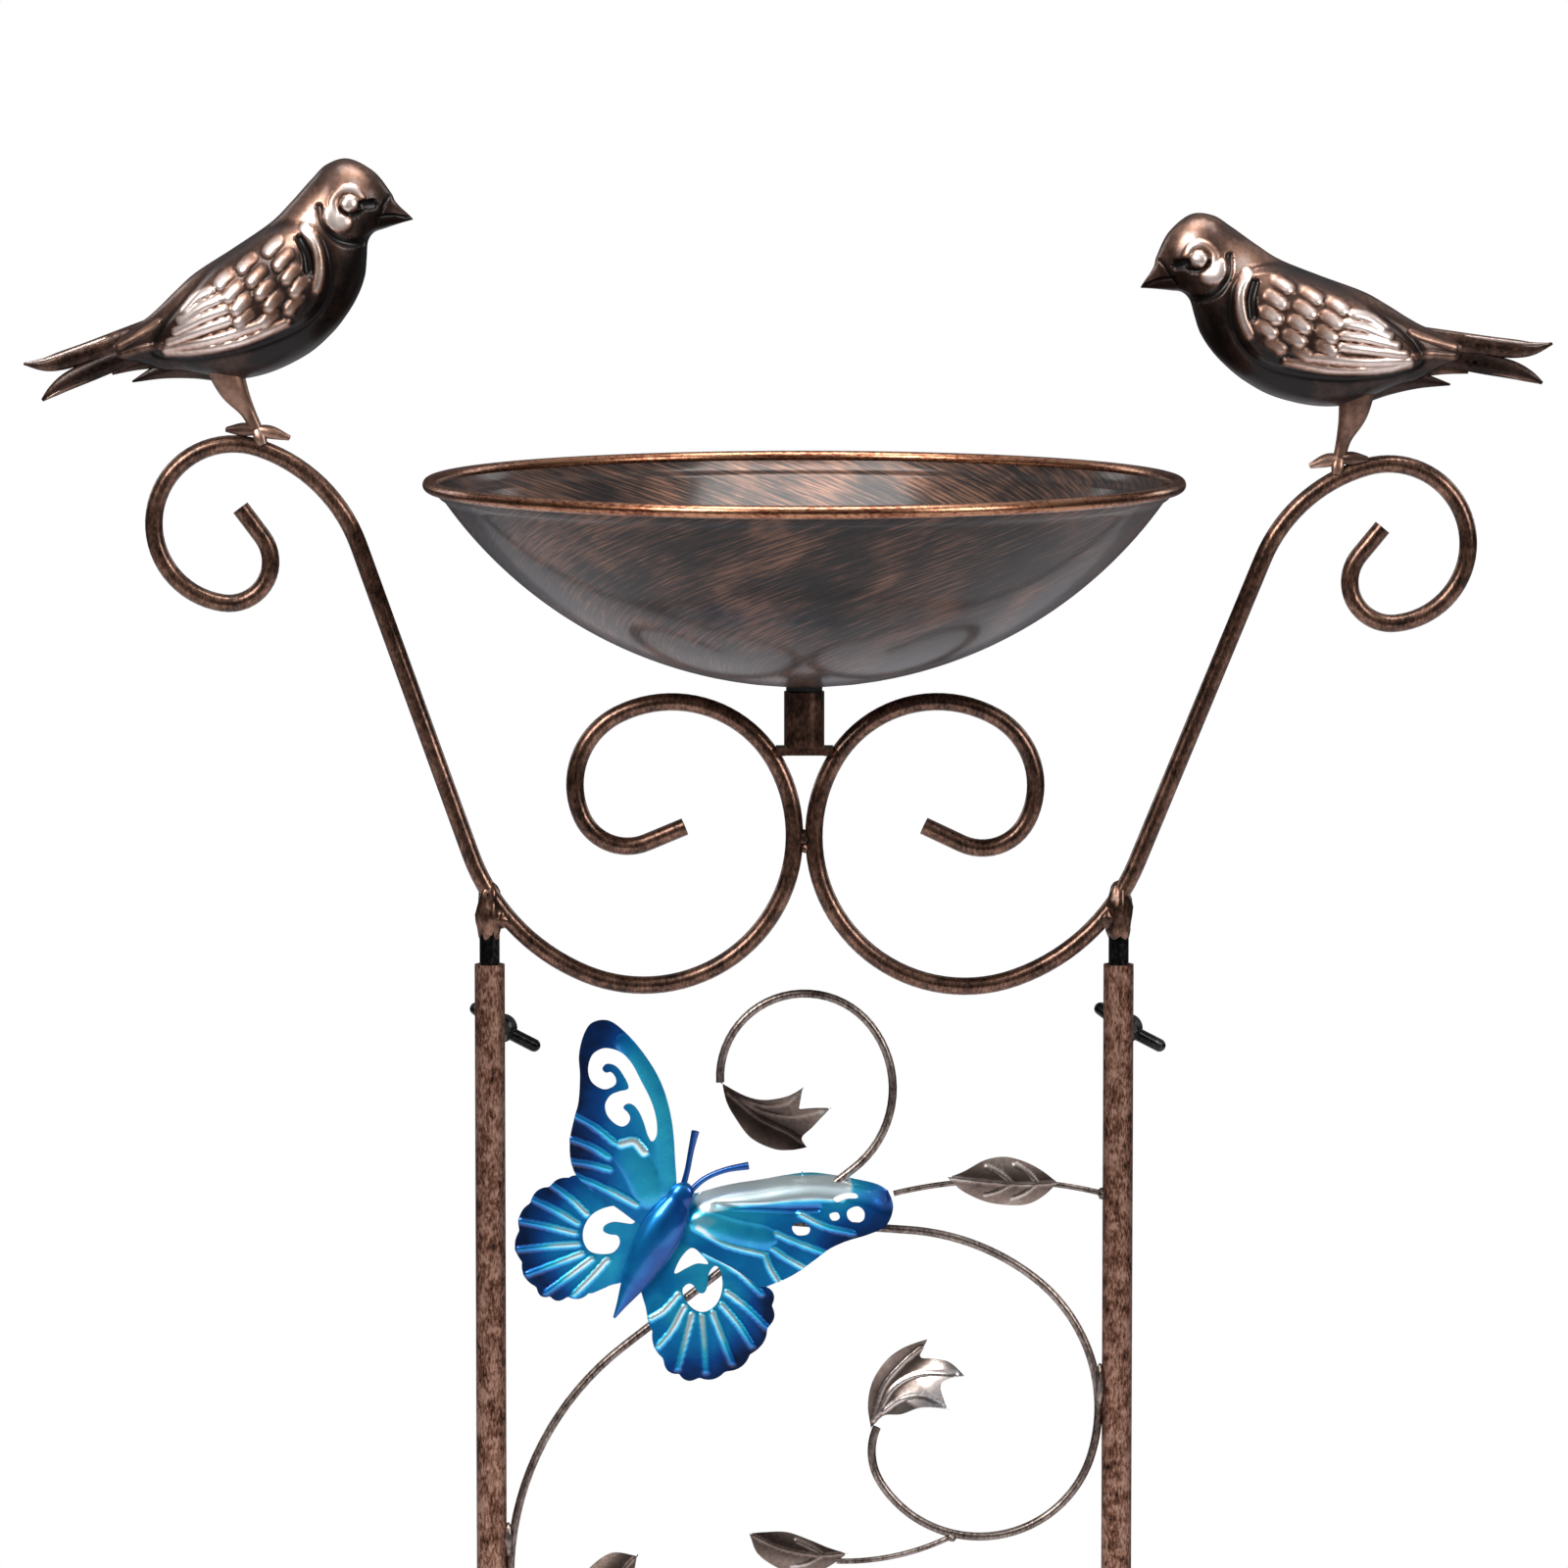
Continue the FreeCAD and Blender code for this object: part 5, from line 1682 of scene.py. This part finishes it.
LEAVES = (
    Leaf(
        "tulip_leaf", (-33.4, 487.6),
        ((0.0, 0.0), (0.6, 0.4), (2.4, -7.4), (5.8, -13.8), (12.1, -21.9), (21.0, -26.4), (28.2, -27.2),
         (34.5, -26.2), (34.5, -26.2), (32.5, -22.3), (37.1, -17.4), (43.6, -9.3), (43.6, -9.3),
         (37.1, -9.8), (31.2, -10.7), (31.2, -10.7), (32.7, -1.1), (32.7, -1.1), (26.4, -5.3),
         (17.4, -7.1), (9.4, -5.3)),
        (((3.0, -4.0), (15.0, -14.0), (27.0, -20.0), (33.0, -24.0)),
         ((6.0, -6.0), (18.0, -12.0), (30.0, -13.6), (41.0, -10.6)),
         ((8.0, -6.4), (18.0, -9.4), (26.0, -8.4), (31.4, -3.4))),
        cup=0.028, shade=0.2, vein_height=0.5,
    ),
    Leaf(
        "curled_leaf", (26.8, 348.1),
        ((0.0, 0.0), (0.0, 0.0), (-1.2, 9.0), (0.6, 18.6), (5.8, 27.0), (13.0, 32.4), (22.6, 35.9),
         (22.6, 35.9), (19.5, 29.0), (24.0, 28.2), (31.0, 27.4), (37.0, 22.9), (37.0, 22.9), (31.0, 21.4),
         (27.3, 18.2), (30.0, 10.6), (30.0, 10.6), (20.0, 9.6), (12.0, 6.0), (5.0, 5.0)),
        (((1.0, 3.0), (4.6, 16.0), (12.0, 25.6), (20.0, 32.4)),
         ((2.6, 5.0), (8.6, 16.0), (19.0, 22.0), (34.0, 23.2)),
         ((4.6, 6.4), (12.0, 12.0), (20.0, 14.0), (28.4, 12.0))),
        cup=0.03, shade=0.5, vein_height=0.9,
    ),
    Leaf(
        "side_leaf", (100.9, 447.5),
        ((0.0, 0.0), (0.0, 0.0), (-6.0, 4.6), (-13.0, 8.0), (-21.0, 9.8), (-29.0, 8.6), (-37.0, 4.6),
         (-43.4, 2.0), (-43.4, 2.0), (-38.0, -3.2), (-29.0, -7.6), (-20.0, -9.2), (-12.0, -8.8),
         (-5.6, -5.4)),
        (((0.0, 0.0), (-14.0, -0.8), (-30.0, 0.4), (-42.0, 1.9)),
         ((-8.0, 0.0), (-12.0, 4.4), (-17.0, 7.2)), ((-18.0, -0.4), (-23.0, 4.0), (-28.0, 6.4)),
         ((-8.0, -0.6), (-13.0, -4.4), (-18.0, -6.6)), ((-18.0, -0.6), (-24.0, -3.8), (-29.0, -5.2))),
        cup=-0.03, shade=0.48, forward=2.0,
    ),
    Leaf(
        "low_leaf", (17.0, 297.1),
        ((0.0, 0.0), (0.0, 0.0), (-7.0, 2.2), (-15.0, 5.4), (-24.0, 8.4), (-33.0, 8.6), (-38.6, 8.0),
         (-38.6, 8.0), (-36.0, 0.6), (-30.0, -4.6), (-22.0, -8.0), (-12.0, -7.6), (-5.0, -4.0)),
        (((0.0, 0.0), (-12.0, -0.6), (-26.0, 2.0), (-37.6, 7.4)),
         ((-10.0, 0.0), (-15.0, 3.0), (-20.0, 5.2)), ((-10.0, -1.0), (-16.0, -4.4), (-22.0, -5.6))),
        cup=-0.03, shade=0.36,
    ),
    Leaf(
        "left_leaf", (-84.6, 258.6),
        ((0.0, 0.0), (0.0, 0.0), (-4.0, 8.0), (-6.0, 17.0), (-4.6, 27.0), (1.0, 34.0), (8.6, 38.6),
         (17.6, 37.4), (17.6, 37.4), (15.6, 26.0), (12.4, 15.0), (7.0, 6.0)),
        (((0.0, 0.0), (3.0, 12.0), (8.0, 26.0), (16.4, 36.6)),
         ((2.6, 10.0), (-1.0, 16.0), (-3.0, 22.0)), ((3.6, 13.0), (8.0, 16.0), (11.4, 20.0))),
        cup=-0.03, shade=0.4,
    ),
    Leaf(
        "foot_leaf", (72.6, 100.6),
        ((0.0, 0.0), (0.0, 0.0), (7.0, 5.4), (15.0, 8.4), (25.0, 6.6), (36.0, 0.0), (36.0, 0.0),
         (25.0, -6.6), (15.0, -8.4), (7.0, -5.4)),
        (((0.0, 0.0), (12.0, 0.6), (24.0, 0.4), (35.0, 0.0)),
         ((6.0, 0.2), (11.0, 4.0), (16.0, 6.0)), ((6.0, 0.0), (11.0, -4.0), (16.0, -6.0))),
        cup=-0.03, turn=35.0,
    ),
)


# ------------------------------------------------------------------ welds and the parts carried over


@dataclass
class Weld:
    """A small lumpy bead of weld, painted over with its neighbours."""

    name: str
    body: str
    slot: str
    finish: Finish
    beads: Sequence[tuple[float, float, float, float, float, float]]

    def build(self) -> None:
        """Makes the beads: place in X, Y and Z, then half sizes."""
        mould = Mould()
        cap, around = 0.12, 22
        up = np.linspace(cap, math.pi - cap, 13)
        turn = np.linspace(0, 2 * math.pi, around, endpoint=False)
        for index, (x, y, z, wide, deep, high) in enumerate(self.beads):
            lump = 1 + 0.10 * np.sin(5 * turn[None, :] + 3.1 * up[:, None] + index) + 0.06 * np.sin(
                7 * up[:, None] + 2.3 * index
            )
            ring = np.stack(
                [
                    x + wide * lump * np.sin(up)[:, None] * np.cos(turn),
                    y + deep * lump * np.sin(up)[:, None] * np.sin(turn),
                    z + high * np.repeat(np.cos(up)[:, None], around, 1),
                ],
                -1,
            )
            mould.rings(ring, 0.4)
        piece = Piece(self.name, self.body, self.slot, self.finish)
        piece.make(mould.all_points(), mould.faces, {"rub": mould.all_marks()})


WELDS = (
    Weld("arm_weld_beads", "top_frame", "arm_paint", ARM_BRONZE, (
        (-0.2, -0.4, 585.6, 2.0, 3.0, 3.4),
        (0.3, -1.6, 581.6, 1.5, 2.2, 2.0),
        (-8.6, 0.0, 620.1, 2.6, 4.6, 2.0),
        (8.8, 0.0, 620.1, 2.6, 4.6, 2.0),
        (-125.0, -0.2, 555.0, 5.3, 5.1, 13.6),
        (125.0, -0.2, 555.0, 5.3, 5.1, 13.6),
        (-120.4, -0.4, 553.6, 3.8, 4.0, 4.4),
        (120.4, -0.4, 553.6, 3.8, 4.0, 4.4),
    )),
    Weld("vine_weld_beads", "trellis", "vine_paint", VINE_BRONZE, (
        (118.2, -1.0, 366.0, 1.9, 2.6, 8.5),
        (118.6, -0.6, 442.9, 1.6, 2.2, 2.4),
        (-118.4, -1.0, 303.0, 1.9, 2.6, 7.0),
        (118.2, -1.0, 255.0, 1.9, 2.6, 7.0),
        (59.2, -0.6, 303.9, 1.9, 1.9, 1.9),
        (-118.6, 0.0, 60.0, 1.6, 3.6, 3.4),
        (118.6, 0.0, 60.0, 1.6, 3.6, 3.4),
    )),
)

CARRIED = {
    "left_scroll_arm": ARM_BRONZE, "right_scroll_arm": ARM_BRONZE, "bowl_socket": ARM_BRONZE,
    "socket_strap": ARM_BRONZE, "left_post": POST_BRONZE, "right_post": POST_BRONZE,
    "long_vine": VINE_BRONZE, "right_vine": VINE_BRONZE, "low_vine": VINE_BRONZE,
    "side_twig": VINE_BRONZE, "low_twig": VINE_BRONZE, "left_twig": VINE_BRONZE,
    "bottom_rail": VINE_BRONZE, "stem_washer": RUBBER,
}


def dress_carried(nodes: dict[str, bpy.types.Object]) -> None:
    """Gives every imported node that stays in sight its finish.

    Args:
        nodes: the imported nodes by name.
    """
    for name, node in nodes.items():
        if node.hide_render:
            continue
        finish = CARRIED.get(name, BLACK_STEEL)
        node.data.materials.clear()
        node.data.materials.append(finish.material())
        log.info("%s: %s", name, finish.title)


# ------------------------------------------------------------------ the studio


@dataclass
class Studio:
    """A pale floor, a white surround, soft lights and the camera."""

    aim: tuple[float, float, float] = (-0.008, 0.0, 0.607)
    distance: float = 3.5
    pitch: float = 6.2
    lens: float = 202.6
    floor_radius: float = 2.0

    def camera(self) -> None:
        """Places the camera in front, a little above its aim."""
        data = bpy.data.cameras.new("camera")
        data.lens = self.lens
        data.sensor_width = 36.0
        data.clip_end = 50.0
        made = bpy.data.objects.new("camera", data)
        bpy.context.scene.collection.objects.link(made)
        tilt = math.radians(self.pitch)
        back = Vector((0.0, -math.cos(tilt), math.sin(tilt)))
        made.location = Vector(self.aim) + back * self.distance
        made.rotation_mode = "QUATERNION"
        made.rotation_quaternion = (-back).to_track_quat("-Z", "Y")
        bpy.context.scene.camera = made

    def softbox(
        self, name: str, place: Sequence[float], size: tuple[float, float], power: float,
        colour: str = "#ffffff",
    ) -> None:
        """Adds a soft rectangular light that faces the object's middle.

        Args:
            name: what the light is called.
            place: where it stands, in metres.
            size: its width and height, in metres.
            power: in watts.
            colour: as sRGB hex.
        """
        data = bpy.data.lights.new(name, "AREA")
        data.shape = "RECTANGLE"
        data.size, data.size_y = size
        data.energy = power
        data.color = linear(colour)[:3]
        made = bpy.data.objects.new(name, data)
        bpy.context.scene.collection.objects.link(made)
        made.location = place
        made.rotation_mode = "QUATERNION"
        made.rotation_quaternion = (Vector(self.aim) - made.location).to_track_quat("-Z", "Y")

    def surround(self) -> None:
        """White behind everything, and for light and gloss a room: bright above, dim ahead."""
        world = bpy.data.worlds.new("studio")
        bpy.context.scene.world = world
        world.use_nodes = True
        tree = world.node_tree
        tree.nodes.clear()
        way = add_node(tree, "NodeTexCoord").outputs["Generated"]
        rise = add_node(tree, "NodeSeparateXYZ", {"Vector": way}).outputs["Z"]
        height = add_node(
            tree, "NodeMapRange", {"Value": rise, "From Min": -1.0, "From Max": 1.0}
        )
        room = add_node(
            tree,
            "NodeValToRGB",
            {"Fac": height.outputs["Result"]},
            [(0.20, "#a2a1a8"), (0.44, "#2c2b2e"), (0.58, "#232225"), (0.72, "#77777b"), (0.92, "#c9c9cd")],
        )
        dim = add_node(tree, "NodeBackground", {"Color": room.outputs["Color"], "Strength": 0.9})
        white = add_node(tree, "NodeBackground", {"Color": "#ffffff", "Strength": 1.0})
        seen = add_node(tree, "NodeLightPath").outputs["Is Camera Ray"]
        both = add_node(
            tree,
            "NodeMixShader",
            {0: seen, 1: dim.outputs[0], 2: white.outputs[0]},
        )
        add_node(tree, "NodeOutputWorld", {"Surface": both.outputs[0]})

    def floor(self) -> None:
        """A pale matt disc just under the stakes' points."""
        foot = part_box("left_stake")[0].z - 1.0 * MM
        around = 96
        turn = np.linspace(0, 2 * math.pi, around, endpoint=False)
        rim = np.stack([np.cos(turn), np.sin(turn), np.zeros(around)], 1) * self.floor_radius
        rim[:, 2] = foot
        mesh = bpy.data.meshes.new("floor")
        mesh.from_pydata(rim.tolist(), [], [tuple(range(around))])
        made = bpy.data.objects.new("floor", mesh)
        bpy.context.scene.collection.objects.link(made)
        paper = bpy.data.materials.new("White paper, matt")
        paper.use_nodes = True
        shader = paper.node_tree.nodes["Principled BSDF"]
        shader.inputs["Base Color"].default_value = linear("#d9d7da")
        shader.inputs["Roughness"].default_value = 0.9
        mesh.materials.append(paper)

    def build(self) -> None:
        """Sets up the whole studio."""
        self.camera()
        self.surround()
        self.floor()
        self.softbox("key_left", (-1.5, -1.9, 2.1), (1.0, 1.2), 55.0)
        self.softbox("fill_right", (1.9, -1.6, 1.5), (0.8, 1.2), 26.0)
        self.softbox("overhead", (0.0, -0.3, 2.7), (1.6, 1.0), 45.0)
        self.softbox("back_left", (-1.8, 1.6, 1.4), (0.7, 1.4), 7.0)
        self.softbox("back_right", (1.8, 1.6, 1.4), (0.7, 1.4), 7.0)
        scene = bpy.context.scene
        scene.view_settings.view_transform = "Standard"
        scene.view_settings.look = "None"


# along X and Z, from the low corner of a bird's front shell to the tip of its beak
LEFT_BEAK = (154.01, 71.77)
RIGHT_BEAK = (-0.62, 46.59)


def main() -> None:
    """Builds every sub-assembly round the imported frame."""
    logging.basicConfig(level=logging.INFO, format="%(message)s")
    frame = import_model()
    Studio().build()
    Bowl().build()
    left_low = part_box("left_bird_front_shell")[0] / MM
    right_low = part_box("right_bird_front_shell")[0] / MM
    left_beak = (left_low.x + LEFT_BEAK[0], left_low.z + LEFT_BEAK[1])
    right_beak = (right_low.x + RIGHT_BEAK[0], right_low.z + RIGHT_BEAK[1])
    Bird(Side.LEFT, pitch=20.1, beak=left_beak, rod_slope=6.0).build()
    Bird(Side.RIGHT, pitch=7.5, beak=right_beak, rod_slope=20.0).build()
    Butterfly().build()
    for leaf in LEAVES:
        leaf.build()
    for weld in WELDS:
        weld.build()
    dress_carried(frame["nodes"])


if __name__ == "__main__":
    main()
